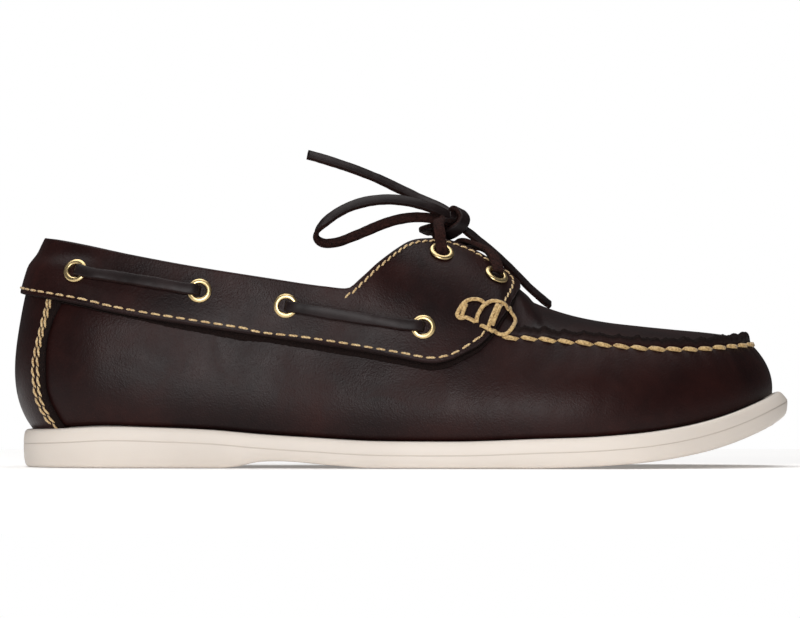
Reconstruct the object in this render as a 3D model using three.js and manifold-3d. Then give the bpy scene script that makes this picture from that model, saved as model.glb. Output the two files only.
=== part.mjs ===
// Boat shoe for the right foot, about EU 42, with a moc toe, side lacing and a moulded sole.
// Millimetres. +X points to the toe, +Y to the wearer's left (the inner side) and +Z up.
// Lengths along the shoe (x) are measured from the back of the sole. The finished group is
// moved so that its origin is on the floor under the middle of the shoe.

import * as THREE from "three";
import { mergeVertices } from "three/addons/utils/BufferGeometryUtils.js";
import Module from "manifold-3d";

// ---------- driving dimensions ----------

const soleLength = 298;
const leather = 1.9; // wall of the upper
const bandLeather = 1.7; // collar band with its two eyestay tabs
const counterLeather = 1.4; // overlay round the heel
const tongueLeather = 1.8;
const insoleThickness = 3;
const gap = 0.3; // between pieces that are sewn or glued face to face
const bandGap = 0.5; // a little more under the band, which curves two ways
const toeSwing = 6; // how far the tip of the toe lies to the inner side

const laceWidth = 4.8;
const laceThickness = 2.4;

const eyeletHole = 2.5; // radii
const eyeletBarrel = 3;
const eyeletFlange = 4.7;
const eyeletCollar = 4.1; // rolled edge inside the shoe
const eyeletThickness = 0.8;
const collarStand = 1.3; // the wall is hollow inside, so the rolled edge stands off it
const leatherHole = 3.4;
const tabEyeletInset = 9.5; // from the throat edge to the middle of an eyelet

const throatFront = 190; // the plug reaches back this far along the shoe, under the tabs
const lipWidth = 5.5; // raised edge where the plug is sewn to the vamp
const lipStep = 3; // plug's edge above the stitch line
const lipHeight = 3.4; // crown of the lip over its own chord

// ---------- tables ----------

// Outline of the sole in plan: half widths to the outer and inner side of the heel's middle.
const solePlan = [
  { x: 0, outer: 0, inner: 0 },
  { x: 8, outer: 21.5, inner: 21.5 },
  { x: 20, outer: 30.5, inner: 30.5 },
  { x: 40, outer: 35.5, inner: 35 },
  { x: 65, outer: 37, inner: 35.5 },
  { x: 95, outer: 38.5, inner: 33.5 },
  { x: 125, outer: 42, inner: 33.5 },
  { x: 155, outer: 46.5, inner: 37.5 },
  { x: 185, outer: 50.5, inner: 44 },
  { x: 210, outer: 52.5, inner: 49 },
  { x: 230, outer: 51.4, inner: 51 },
  { x: 250, outer: 46.6, inner: 50 },
  { x: 268, outer: 38, inner: 45.6 },
  { x: 283, outer: 26, inner: 37 },
  { x: 293, outer: 13, inner: 25 },
  { x: soleLength, outer: -toeSwing, inner: toeSwing },
];

// Heights of the sole: its tread, and the top of its side wall.
const soleTread = [
  { x: 0, z: 0 },
  { x: 78, z: 0 },
  { x: 84, z: 0.6 },
  { x: 92, z: 2.3 },
  { x: 100, z: 2.6 },
  { x: 120, z: 1.1 },
  { x: 137, z: 0 },
  { x: 195, z: 0 },
  { x: 212, z: 0.35 },
  { x: 230, z: 1.3 },
  { x: 243, z: 2.5 },
  { x: 255, z: 4.3 },
  { x: 268, z: 7.2 },
  { x: 280, z: 11.2 },
  { x: 290, z: 15.6 },
  { x: soleLength, z: 20.2 },
];
const soleRim = [
  { x: 0, z: 14.5 },
  { x: 15, z: 15.1 },
  { x: 35, z: 16 },
  { x: 52, z: 15.6 },
  { x: 75, z: 14.6 },
  { x: 92, z: 13.1 },
  { x: 112, z: 11.8 },
  { x: 140, z: 10.4 },
  { x: 165, z: 10.3 },
  { x: 200, z: 11.4 },
  { x: 225, z: 12.4 },
  { x: 249, z: 14.9 },
  { x: 262, z: 17.4 },
  { x: 274, z: 20.8 },
  { x: 286, z: 25.4 },
  { x: soleLength, z: 31 },
];

// The side wall of the sole from the tread to its top: how far in from the outline each line lies.
const soleWall = [
  { rise: 0, inset: 1.8 },
  { rise: 0.1, inset: 0.5 },
  { rise: 0.4, inset: 0 },
  { rise: 0.82, inset: 0.3 },
  { rise: 0.96, inset: 0.9 },
  { rise: 1, inset: 1.8 },
];

// The wall of the upper, from the sole to its waist line: halfway up behind, the toe seam in front.
// rim: sole left bare outside it. waistIn: waist line inside the wall's foot. Leans are angles from
// level outward, so 90 is upright and more leans in: at the foot, into the waist and out of it.
const wallRows = [
  { x: 0, rim: 5.5, waistIn: -5.9, waistZ: 52, footLean: 50, waistLean: 99, upLean: 99 },
  { x: 20, rim: 4, waistIn: -3.6, waistZ: 52, footLean: 60, waistLean: 97, upLean: 97 },
  { x: 40, rim: 3, waistIn: -1.2, waistZ: 51.8, footLean: 68, waistLean: 95, upLean: 95 },
  { x: 65, rim: 3, waistIn: -0.4, waistZ: 51.5, footLean: 72, waistLean: 93, upLean: 93 },
  { x: 95, rim: 3, waistIn: 0.6, waistZ: 51, footLean: 72, waistLean: 93, upLean: 93 },
  { x: 125, rim: 3, waistIn: 2.2, waistZ: 50.6, footLean: 72, waistLean: 96, upLean: 96 },
  { x: 155, rim: 3, waistIn: 5, waistZ: 50.6, footLean: 73, waistLean: 103, upLean: 103 },
  { x: 175, rim: 3, waistIn: 8, waistZ: 50.6, footLean: 74, waistLean: 111, upLean: 111 },
  { x: 192, rim: 3, waistIn: 10.3, waistZ: 50.4, footLean: 75, waistLean: 119, upLean: 119 },
  { x: 210, rim: 3, waistIn: 11.3, waistZ: 49, footLean: 76, waistLean: 126, upLean: 126 },
  { x: 230, rim: 3.2, waistIn: 11.3, waistZ: 47.4, footLean: 78, waistLean: 130, upLean: 130 },
  { x: 250, rim: 3.6, waistIn: 11, waistZ: 46, footLean: 80, waistLean: 132, upLean: 132 },
  { x: 268, rim: 4.6, waistIn: 10, waistZ: 45.8, footLean: 83, waistLean: 134, upLean: 134 },
  { x: 283, rim: 5.4, waistIn: 9, waistZ: 46.6, footLean: 84, waistLean: 135, upLean: 135 },
  { x: soleLength, rim: 6, waistIn: 8, waistZ: 47.4, footLean: 84, waistLean: 136, upLean: 136 },
];

// The top line: collar, notch, the two tabs beside the throat, and then the spine of the plug.
// along: its own length along the shoe. half: half the width across. A lean as above.
const crestRows = [
  { x: 0, along: 10.2, half: 0, z: 87.8, lean: 118 },
  { x: 8, along: 13.6, half: 12.5, z: 87.5, lean: 111 },
  { x: 20, along: 23.2, half: 19.5, z: 85.9, lean: 103 },
  { x: 40, along: 41.5, half: 25.5, z: 82, lean: 97 },
  { x: 65, along: 65.5, half: 29.5, z: 77.5, lean: 95 },
  { x: 95, along: 95, half: 33, z: 72.8, lean: 95 },
  { x: 118, along: 118, half: 35.8, z: 69.4, lean: 97 },
  { x: 126, along: 126, half: 36, z: 68.6, lean: 99 },
  { x: 132, along: 132, half: 34.6, z: 73, lean: 107 },
  { x: 139, along: 139, half: 31, z: 79.2, lean: 120 },
  { x: 144, along: 144, half: 26.8, z: 82.9, lean: 130 },
  { x: 149, along: 149, half: 22, z: 85.7, lean: 141 },
  { x: 154, along: 154, half: 18, z: 86.9, lean: 149 },
  { x: 160, along: 160, half: 14.8, z: 87, lean: 154 },
  { x: 170, along: 170, half: 12.4, z: 84.8, lean: 157 },
  { x: 180, along: 180, half: 12, z: 79.6, lean: 156 },
  { x: 187, along: 187, half: 12.8, z: 74.9, lean: 154 },
  { x: 193, along: 192.8, half: 14.6, z: 69.4, lean: 153 },
  { x: 198, along: 196.6, half: 9, z: 66.2, lean: 165 },
  { x: 202, along: 198.4, half: 0, z: 64.1, lean: 172 },
  { x: 212, along: 206.5, half: 0, z: 61, lean: 175 },
  { x: 230, along: 221.5, half: 0, z: 57, lean: 175 },
  { x: 250, along: 236, half: 0, z: 55, lean: 175 },
  { x: 268, along: 248, half: 0, z: 53.9, lean: 175 },
  { x: 283, along: 256.5, half: 0, z: 53, lean: 175 },
  { x: soleLength, along: 261, half: 0, z: 52.7, lean: 175 },
];

// Height of the plug along its middle, carried on over the toe.
const spineRows = [
  { x: 190, z: 68.2 },
  { x: 198, z: 64.2 },
  { x: 204, z: 61.8 },
  { x: 214, z: 58.7 },
  { x: 226, z: 56.3 },
  { x: 240, z: 54.6 },
  { x: 254, z: 53.2 },
  { x: 266, z: 52.1 },
  { x: 286, z: 49.8 },
];

// Lower edge of the collar band, rising at its front end to the corner of the tab.
const bandEdge = [
  { x: 0, z: 67 },
  { x: 12, z: 64.4 },
  { x: 43, z: 58.2 },
  { x: 74, z: 53.5 },
  { x: 105, z: 48.9 },
  { x: 126, z: 45.6 },
  { x: 147, z: 41.9 },
  { x: 159.5, z: 39.8 },
  { x: 165, z: 40.7 },
  { x: 171.5, z: 43.5 },
  { x: 178.5, z: 47.6 },
  { x: 182.2, z: 51.6 },
  { x: 185.5, z: 56.7 },
  { x: 188.2, z: 61.4 },
  { x: 190.8, z: 65.4 },
  { x: 192.4, z: 68 },
];

// Front edge of the heel counter, from the sole up to where the band covers it.
const counterEdge = [
  { z: 14, x: 18.8 },
  { z: 21, x: 14.2 },
  { z: 28, x: 10.9 },
  { z: 37, x: 10 },
  { z: 45, x: 10.2 },
  { z: 57, x: 13 },
  { z: 63, x: 15.9 },
  { z: 74, x: 19 },
];
const counterTop = 72.5;

// Height of the tongue along its middle, from under the plug to its free end.
const tongueRows = [
  { x: 149, z: 84.6, half: 18 },
  { x: 158, z: 81.4, half: 19 },
  { x: 170, z: 75.6, half: 19.5 },
  { x: 182, z: 69.4, half: 18.5 },
  { x: 193, z: 63.4, half: 16.5 },
  { x: 204, z: 57.6, half: 13 },
];
const tongueCrown = 0.0085; // fall over the square of the distance from the middle

// Middles of the side eyelets, seen from the side.
const sideEyelets = [
  { x: 21.3, z: 76 },
  { x: 69.3, z: 68.3 },
  { x: 102.7, z: 62.5 },
  { x: 155.6, z: 54.3 },
];
// Places of the tab eyelets along the shoe.
const tabEyelets = [{ x: 162.3 }, { x: 183 }];

// ---------- curves through tables ----------

const radians = THREE.MathUtils.degToRad;
const ramp = THREE.MathUtils.smoothstep;

// A smooth curve through [place, value] pairs that keeps level stretches level.
function curveThrough(pairs) {
  const rise = (a, b) => (b[1] - a[1]) / (b[0] - a[0]);
  const slopes = pairs.map((pair, i) => {
    if (i === 0) return rise(pair, pairs[1]);
    if (i === pairs.length - 1) return rise(pairs[i - 1], pair);
    const before = rise(pairs[i - 1], pair);
    const after = rise(pair, pairs[i + 1]);
    if (before * after <= 0) return 0;
    const stepBack = pair[0] - pairs[i - 1][0];
    const stepOn = pairs[i + 1][0] - pair[0];
    const mean = (before * stepOn + after * stepBack) / (stepOn + stepBack);
    const most = 3 * Math.min(Math.abs(before), Math.abs(after));
    return Math.sign(mean) * Math.min(Math.abs(mean), most);
  });
  return (place) => {
    let i = 0;
    while (i < pairs.length - 2 && place > pairs[i + 1][0]) i += 1;
    const [from, start] = pairs[i];
    const [to, end] = pairs[i + 1];
    const step = to - from;
    const q = THREE.MathUtils.clamp((place - from) / step, 0, 1);
    const left = 1 - q;
    return (
      start * (1 + 2 * q) * left * left +
      slopes[i] * step * q * left * left +
      end * q * q * (3 - 2 * q) -
      slopes[i + 1] * step * q * q * left
    );
  };
}

const column = (rows, key, by = "x") => curveThrough(rows.map((row) => [row[by], row[key]]));

// A place round the shoe is a turn: 0 at the heel, up to 1 at the toe along the outer side,
// and on to 2, the heel again, along the inner side.
const turnAt = (x) => Math.acos(1 - (2 * x) / soleLength) / Math.PI;
const lengthAt = (turn) => (soleLength * (1 - Math.cos(Math.PI * turn))) / 2;

// A curve round the whole shoe from a table's rows, with one value for each side.
function round(rows, outerValue, innerValue = outerValue) {
  const there = rows.map((row) => [turnAt(row.x), outerValue(row)]);
  const back = rows.slice(1, -1).map((row) => [2 - turnAt(row.x), innerValue(row)]);
  const once = [...there, ...back.reverse()];
  const before = once.slice(-3).map(([turn, value]) => [turn - 2, value]);
  const after = once.slice(0, 3).map(([turn, value]) => [turn + 2, value]);
  return curveThrough([...before, ...once, ...after]);
}

const outlineY = round(solePlan, (row) => -row.outer, (row) => row.inner);
const treadZ = column(soleTread, "z");
const rimZ = column(soleRim, "z");
const spineZ = column(spineRows, "z");
const wall = {};
for (const key of ["rim", "waistIn", "waistZ", "footLean", "waistLean", "upLean"])
  wall[key] = round(wallRows, (row) => row[key]);
const crest = {};
for (const key of ["along", "z", "lean"]) crest[key] = round(crestRows, (row) => row[key]);
crest.half = round(crestRows, (row) => -row.half, (row) => row.half);

// The middle line of the forefoot curves to the inner side.
const middleY = (x) => toeSwing * Math.max(0, (x - 150) / (soleLength - 150)) ** 2;

// ---------- the form of the shoe ----------

// The level direction that points out of the sole's outline at a turn.
function outward(turn) {
  const step = 1e-4;
  const dx = lengthAt(turn + step) - lengthAt(turn - step);
  const dy = outlineY((turn + step + 2) % 2) - outlineY((turn - step + 2) % 2);
  return new THREE.Vector3(dy, -dx, 0).normalize();
}

const outlinePoint = (turn, inset) =>
  new THREE.Vector3(lengthAt(turn), outlineY(turn), 0).addScaledVector(outward(turn), -inset);

// A step of a given length that leaves the level at a lean, in the upright plane through out.
const leaning = (out, lean, length) =>
  new THREE.Vector3(0, 0, Math.sin(radians(lean)) * length).addScaledVector(
    out,
    Math.cos(radians(lean)) * length,
  );

const plugFrom = 183.5; // along the sole, the plug takes over from the tab between these
const plugFull = 193;

const sections = new Map();
function sectionAt(turn) {
  const key = turn.toFixed(7);
  if (sections.has(key)) return sections.get(key);
  const out = outward(turn);
  const foot = outlinePoint(turn, wall.rim(turn));
  foot.z = rimZ(foot.x) + gap;
  const waist = foot.clone().addScaledVector(out, -wall.waistIn(turn)).setZ(wall.waistZ(turn));
  const along = crest.along(turn);
  const half = crest.half(turn);
  const onSpine = along > throatFront && Math.abs(half) < 0.01;
  const top = new THREE.Vector3(
    along,
    middleY(along) + (onSpine ? 0 : half),
    onSpine ? spineZ(along) : crest.z(turn),
  );
  const low = foot.distanceTo(waist) * 0.36;
  const high = waist.distanceTo(top) * 0.36;
  const made = {
    out,
    onSpine,
    plug: ramp(lengthAt(turn), plugFrom, plugFull),
    lower: new THREE.CubicBezierCurve3(
      foot,
      foot.clone().add(leaning(out, wall.footLean(turn), low)),
      waist.clone().sub(leaning(out, wall.waistLean(turn), low)),
      waist,
    ),
    upper: new THREE.CubicBezierCurve3(
      waist,
      waist.clone().add(leaning(out, wall.upLean(turn), high)),
      top.clone().sub(leaning(out, crest.lean(turn), high)),
      top,
    ),
    waist,
    top,
  };
  sections.set(key, made);
  return made;
}

// The lip and the crowned plug behind it, as far as the spine.
const lipShare = 0.3;
function plugPoint(section, q, lip) {
  const edge = section.waist.clone().addScaledVector(section.out, -lipWidth);
  edge.z += lipStep;
  if (q < lipShare) {
    const across = q / lipShare;
    const made = section.waist.clone().lerp(edge, across);
    made.z += lip * lipHeight * Math.sin(Math.PI * across);
    return made;
  }
  const inner = (q - lipShare) / (1 - lipShare);
  const made = edge.clone().lerp(section.top, inner);
  const fall = spineZ(edge.x) - edge.z;
  const rise = section.top.z - spineZ(section.top.x);
  made.z = spineZ(made.x) - fall * (1 - inner) ** 2 + rise * inner ** 2;
  return made;
}

// A point of the upper's outer face. level: 0 at the sole, 1 at the waist line, 2 at the top line.
function facePoint(turn, level, lip = 1) {
  const section = sectionAt(turn);
  if (level <= 1) return section.lower.getPoint(level);
  const quarter = section.upper.getPoint(level - 1);
  if (section.plug === 0) return quarter;
  return quarter.lerp(plugPoint(section, level - 1, lip), section.plug);
}

// The way out of the leather at a point of that face.
function faceNormal(turn, level) {
  const section = sectionAt(turn);
  const step = 1e-3;
  if (section.onSpine && level > 2 - step) {
    const x = section.top.x;
    return new THREE.Vector3(spineZ(x - step) - spineZ(x + step), 0, 2 * step).normalize();
  }
  const low = Math.max(0, level - step);
  const high = Math.min(2, level + step);
  const up = facePoint(turn, high, 0).sub(facePoint(turn, low, 0));
  const turnNear = (shift) => (turn + shift + 2) % 2;
  const level0 = Math.min(level, 2 - step);
  const ahead = facePoint(turnNear(step), level0, 0).sub(facePoint(turnNear(-step), level0, 0));
  return ahead.cross(up).normalize();
}

const offsetPoint = (turn, level, offset, lip = 0) =>
  facePoint(turn, level, lip).addScaledVector(faceNormal(turn, level), offset);

// The level at which a section reaches a height.
function levelAtHeight(turn, z) {
  let low = 0;
  let high = 2;
  for (let i = 0; i < 30; i += 1) {
    const middle = (low + high) / 2;
    if (facePoint(turn, middle, 0).z < z) low = middle;
    else high = middle;
  }
  return (low + high) / 2;
}

// The turn, along the outer side, at which the face reaches a length along the shoe.
function turnAtLength(x, levelOf) {
  let low = 0;
  let high = 0.9;
  for (let i = 0; i < 30; i += 1) {
    const middle = (low + high) / 2;
    if (facePoint(middle, levelOf(middle), 0).x < x) low = middle;
    else high = middle;
  }
  return (low + high) / 2;
}

const otherSide = (turn) => (2 - turn) % 2;

// ---------- meshes ----------

const wasm = await Module();
wasm.setup();

function solidFrom(geometry) {
  const bare = geometry.clone();
  bare.deleteAttribute("normal");
  bare.deleteAttribute("uv");
  const merged = mergeVertices(bare, 1e-4);
  return new wasm.Manifold(
    new wasm.Mesh({
      numProp: 3,
      vertProperties: merged.attributes.position.array,
      triVerts: new Uint32Array(merged.index.array),
    }),
  );
}

function geometryFrom(solid) {
  const mesh = solid.getMesh();
  const geometry = new THREE.BufferGeometry();
  geometry.setAttribute("position", new THREE.BufferAttribute(mesh.vertProperties, 3));
  geometry.setIndex(new THREE.BufferAttribute(mesh.triVerts, 1));
  return geometry;
}

// Triangles of a skin between rows of points. A quad is split along its shorter diagonal.
class Skin {
  constructor() {
    this.corners = [];
  }
  triangle(a, b, c) {
    const thin = a.distanceTo(b) < 1e-3 || b.distanceTo(c) < 1e-3 || c.distanceTo(a) < 1e-3;
    if (!thin) this.corners.push(a, b, c);
  }
  quad(a, b, c, d) {
    if (a.distanceTo(c) <= b.distanceTo(d)) {
      this.triangle(a, b, c);
      this.triangle(a, c, d);
    } else {
      this.triangle(a, b, d);
      this.triangle(b, c, d);
    }
  }
  // rows[i][j] with i running ahead and j up, seen from outside with ahead to the right
  grid(rows, flip = false) {
    for (let i = 0; i + 1 < rows.length; i += 1)
      for (let j = 0; j + 1 < rows[i].length; j += 1) {
        const [a, b] = [rows[i][j], rows[i + 1][j]];
        const [c, d] = [rows[i + 1][j + 1], rows[i][j + 1]];
        if (flip) this.quad(d, c, b, a);
        else this.quad(a, b, c, d);
      }
  }
  geometry() {
    const made = new THREE.BufferGeometry().setFromPoints(this.corners);
    return mergeVertices(made, 1e-3);
  }
}

// A closed sheet between an outer and an inner grid of points with equal numbers of columns.
// ring: the last column meets the first, so there are no end faces.
function sheet(outer, inner, ring = false) {
  const skin = new Skin();
  skin.grid(outer);
  skin.grid(inner, true);
  const last = (columnPoints) => columnPoints[columnPoints.length - 1];
  skin.grid(outer.map((points, i) => [inner[i][0], points[0]]));
  skin.grid(outer.map((points, i) => [last(points), last(inner[i])]));
  if (!ring) {
    skin.grid([inner[0], outer[0]]);
    skin.grid([last(outer), last(inner)]);
  }
  return skin.geometry();
}

const turns = [];
const addTurns = (from, to, count) => {
  for (let i = 0; i < count; i += 1) turns.push(from + ((to - from) * i) / count);
};
addTurns(0, turnAt(40), 9);
addTurns(turnAt(40), turnAt(118), 7);
addTurns(turnAt(118), turnAt(206), 15);
addTurns(turnAt(206), 1, 11);
const allTurns = [...turns, 1, ...turns.slice(1).reverse().map(otherSide)];
const closedTurns = [...allTurns, 0];

// ---------- sole and insole ----------

function makeOutsole() {
  const columns = closedTurns.map((turn) =>
    soleWall.map(({ rise, inset }) => {
      const made = outlinePoint(turn, inset);
      const tread = treadZ(made.x);
      made.z = tread + (rimZ(made.x) - tread) * rise;
      return made;
    }),
  );
  return cappedRing(columns);
}

// A ring of side columns, closed below and above by strips across the shoe.
function cappedRing(columns) {
  const skin = new Skin();
  skin.grid(columns);
  const half = (columns.length - 1) / 2;
  const top = columns[0].length - 1;
  for (let i = 0; i < half; i += 1) {
    const [outer, outerNext] = [columns[i], columns[i + 1]];
    const [inner, innerNext] = [columns[columns.length - 1 - i], columns[columns.length - 2 - i]];
    skin.quad(outer[top], outerNext[top], innerNext[top], inner[top]);
    skin.quad(inner[0], innerNext[0], outerNext[0], outer[0]);
  }
  return skin.geometry();
}

function makeInsole() {
  const columns = closedTurns.map((turn) =>
    [0, insoleThickness].map((rise) => {
      const made = outlinePoint(turn, wall.rim(turn) + leather + 2 * gap);
      made.z = rimZ(made.x) + gap + rise;
      return made;
    }),
  );
  return cappedRing(columns);
}

// ---------- upper ----------

const outerLevels = [0, 0.25, 0.5, 0.78, 1, 1.1, 1.2, 1.3, 1.45, 1.62, 1.8, 2];
const innerLevels = [0, 0.4, 0.78, 1, 1.3, 1.65, 2];

function makeUpper() {
  const outer = closedTurns.map((turn) => outerLevels.map((level) => facePoint(turn, level)));
  const inner = closedTurns.map((turn) =>
    innerLevels.map((level) => offsetPoint(turn, level, -leather)),
  );
  const skin = new Skin();
  skin.grid(outer);
  skin.grid(inner, true);
  skin.grid(outer.map((points, i) => [inner[i][0], points[0]]));
  const top = outerLevels.length - 1;
  const topInside = innerLevels.length - 1;
  for (let i = 0; i + 1 < closedTurns.length; i += 1) {
    const open = [i, i + 1].some((k) => !sectionAt(closedTurns[k]).onSpine);
    if (open)
      skin.quad(
        outer[i][top],
        outer[i + 1][top],
        inner[i + 1][topInside],
        inner[i][topInside],
      );
  }
  return skin.geometry();
}

// ---------- overlays ----------

// Near the heel the band lies over the counter, so it stands further out there.
function bandOffset(turn, level) {
  const point = facePoint(turn, level, 0);
  const nearHeel = 1 - ramp(point.x, 24, 36);
  const overCounter = 1 - ramp(point.z, 76, 83);
  return bandGap + (counterLeather + gap) * nearHeel * overCounter;
}

const bandLow = column(bandEdge, "z");
const bandFront = bandEdge[bandEdge.length - 1].x;

// Lowest level of the band at a turn.
function bandLevel(turn) {
  let level = 1;
  for (let i = 0; i < 12; i += 1) {
    const x = facePoint(turn, level, 0).x;
    level = levelAtHeight(turn, bandLow(x));
  }
  return level;
}

const tabStations = [183.5, 185.5, 187.3, 189, 190.6, 191.7, bandFront]; // its narrowing front end

function makeBand() {
  const tip = tabStations.map((x) => turnAtLength(x, bandLevel));
  const outerTurns = [...turns.filter((turn) => turn < tip[0] - 0.004), ...tip];
  const columnsAt = (turn) => {
    const low = bandLevel(turn);
    return [0, 0.2, 0.4, 0.6, 0.8, 1].map((share) => low + (2 - low) * share);
  };
  const all = [...outerTurns.slice(1).reverse().map(otherSide), ...outerTurns];
  const outer = all.map((turn) =>
    columnsAt(turn).map((level) =>
      offsetPoint(turn, level, bandOffset(turn, level) + bandLeather),
    ),
  );
  const inner = all.map((turn) =>
    columnsAt(turn).map((level) => offsetPoint(turn, level, bandOffset(turn, level))),
  );
  return sheet(outer, inner);
}

const counterFront = column(counterEdge, "x", "z");

function makeCounter() {
  const rows = [0.03, 0.2, 0.4, 0.6, 0.8, 1, 1.2, 1.38, levelAtHeight(0, counterTop)];
  const shares = [-1, -0.8, -0.6, -0.4, -0.2, 0, 0.2, 0.4, 0.6, 0.8, 1];
  const edgeTurn = (level) => {
    let turn = 0.1;
    for (let i = 0; i < 12; i += 1) {
      const z = facePoint(turn, level, 0).z;
      turn = turnAtLength(counterFront(z), () => level);
    }
    return turn;
  };
  const edges = rows.map(edgeTurn);
  const place = (share, j) => (share * edges[j] + 2) % 2;
  const columnsAt = (offset) =>
    shares.map((share) => rows.map((level, j) => offsetPoint(place(share, j), level, offset)));
  return sheet(columnsAt(gap + counterLeather), columnsAt(gap));
}

// ---------- tongue ----------

const tongueZ = column(tongueRows, "z");
const tongueHalf = column(tongueRows, "half");

function makeTongue() {
  const lengths = [149, 155, 162, 169, 176, 183, 190, 197, 204];
  const shares = [-1, -0.72, -0.36, 0, 0.36, 0.72, 1];
  const columnsAt = (drop) =>
    lengths.map((x) =>
      shares.map((share) => {
        const y = share * tongueHalf(x);
        return new THREE.Vector3(x, middleY(x) + y, tongueZ(x) - tongueCrown * y * y - drop);
      }),
    );
  return sheet(columnsAt(0), columnsAt(tongueLeather));
}

// ---------- eyelets ----------

// A place on the band: its turn and level, the middle of its outer face and the way out.
function bandPlace(turn, level) {
  const stand = bandOffset(turn, level) + bandLeather;
  return { turn, level, stand, middle: facePoint(turn, level, 0), out: faceNormal(turn, level) };
}

// The same place seen from the side, found on the outer side of the shoe.
function placeSeen(x, z) {
  let turn = turnAt(x);
  let level = 1.5;
  for (let i = 0; i < 8; i += 1) {
    const out = faceNormal(turn, level);
    const height = bandOffset(turn, level) + bandLeather;
    level = levelAtHeight(turn, z - (out.z * height));
    turn = turnAtLength(x - (out.x * height), () => level);
  }
  return bandPlace(turn, level);
}

// A place a little way down from the top edge of a tab.
function placeOnTab(x) {
  let turn = turnAt(x);
  let level = 1.8;
  for (let i = 0; i < 8; i += 1) {
    level = 2 - tabEyeletInset / sectionAt(turn).upper.getLength();
    turn = turnAtLength(x, () => level);
  }
  return bandPlace(turn, level);
}

const mirrored = ({ turn, level }) => bandPlace(otherSide(turn), level);
const outerPlaces = {
  side: sideEyelets.map(({ x, z }) => placeSeen(x, z)),
  tab: tabEyelets.map(({ x }) => placeOnTab(x)),
};
const places = { outer: outerPlaces };
places.inner = {
  side: outerPlaces.side.map(mirrored),
  tab: outerPlaces.tab.map(mirrored),
};

// A turned piece, drawn with its axis along +Y, set on a place with that axis pointing out.
function setOnPlace(geometry, place) {
  const turnedOut = new THREE.Quaternion().setFromUnitVectors(new THREE.Vector3(0, 1, 0), place.out);
  const { x, y, z } = place.middle;
  return geometry.clone().applyQuaternion(turnedOut).translate(x, y, z);
}

const roundSides = 8;

function makeEyelet(place) {
  const under = place.stand + gap;
  const top = under + eyeletThickness;
  const inside = -leather - collarStand;
  const profile = [
    [eyeletHole, inside - eyeletThickness],
    [eyeletCollar, inside - eyeletThickness],
    [eyeletCollar, inside],
    [eyeletBarrel, inside],
    [eyeletBarrel, under],
    [eyeletFlange, under],
    [eyeletFlange - 0.5, top],
    [eyeletHole + 0.3, top],
    [eyeletHole, inside - eyeletThickness],
  ].map(([radius, height]) => new THREE.Vector2(radius, height));
  return setOnPlace(new THREE.LatheGeometry(profile, roundSides), place);
}

const everyPlace = [places.outer, places.inner].flatMap(({ side, tab }) => [...side, ...tab]);

// Bores every eyelet's hole through a sheet of leather.
function bored(geometry) {
  let solid = solidFrom(geometry);
  for (const place of everyPlace) {
    const drill = new THREE.CylinderGeometry(leatherHole, leatherHole, 14, 8);
    solid = solid.subtract(solidFrom(setOnPlace(drill, place)));
  }
  return geometryFrom(solid);
}

// ---------- lace held by the shoe ----------

const flatSection = [
  [-0.5, -0.25],
  [-0.4, -0.5],
  [0.4, -0.5],
  [0.5, -0.25],
  [0.5, 0.25],
  [0.4, 0.5],
  [-0.4, 0.5],
  [-0.5, 0.25],
];

// A flat strap along stations, each with its middle and the way its broad face looks.
function strap(stations) {
  const loops = stations.map(({ middle, face }, i) => {
    const ahead = stations[Math.min(i + 1, stations.length - 1)].middle
      .clone()
      .sub(stations[Math.max(i - 1, 0)].middle);
    const across = ahead.clone().cross(face).normalize();
    const up = across.clone().cross(ahead).normalize();
    return flatSection.map(([wide, thick]) =>
      middle
        .clone()
        .addScaledVector(across, wide * laceWidth)
        .addScaledVector(up, thick * laceThickness),
    );
  });
  const skin = new Skin();
  skin.grid(loops.map((loop) => [...loop, loop[0]]));
  const lid = (loop, flip) => {
    for (let k = 1; k + 1 < loop.length; k += 1) {
      if (flip) skin.triangle(loop[0], loop[k + 1], loop[k]);
      else skin.triangle(loop[0], loop[k], loop[k + 1]);
    }
  };
  lid(loops[0], false);
  lid(loops[loops.length - 1], true);
  return skin.geometry();
}

const aboveEyelet = gap + eyeletThickness + gap + laceThickness / 2;
const runLift = 0.3; // keeps a run clear of its eyelets where the band curves round the heel

// A run of lace over the band from one side eyelet to the next.
function makeSideRun(from, to) {
  const steps = 8;
  const stations = [];
  for (let i = 0; i <= steps; i += 1) {
    const share = i / steps;
    const turn = from.turn + (to.turn - from.turn) * share;
    const level = from.level + (to.level - from.level) * share;
    const face = faceNormal(turn, level);
    const height = bandOffset(turn, level) + bandLeather + aboveEyelet + runLift;
    stations.push({ middle: offsetPoint(turn, level, height), face });
  }
  return strap(stations);
}

// The two strands that cross in the throat: each leaves a front tab eyelet, goes over the
// tab's edge, meets the other in the middle and dives under the opposite tab.
const crossing = new THREE.Vector3(170.5, 0, 86.8);
function makeThroatStrand(from, side) {
  const edgeTurn = turnAtLength(179.5, () => 2);
  const edge = side < 0 ? edgeTurn : otherSide(edgeTurn);
  const overEdge = offsetPoint(edge, 2, bandLeather + aboveEyelet + gap);
  const route = new THREE.CatmullRomCurve3([
    from.middle.clone().addScaledVector(from.out, from.stand + aboveEyelet),
    overEdge,
    crossing,
    new THREE.Vector3(166.5, -side * 7.5, 82.4),
    new THREE.Vector3(164.5, -side * 12.5, 79.9),
  ]);
  const steps = 8;
  const up = new THREE.Vector3(0, 0, 1);
  const stations = route.getSpacedPoints(steps).map((middle, i) => ({
    middle,
    face: from.out.clone().lerp(up, Math.min(1, i / 3)),
  }));
  return strap(stations);
}

const makeThroatLace = () =>
  geometryFrom(
    solidFrom(makeThroatStrand(places.outer.tab[1], -1)).add(
      solidFrom(makeThroatStrand(places.inner.tab[1], 1)),
    ),
  );

// ---------- free lace ----------

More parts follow.
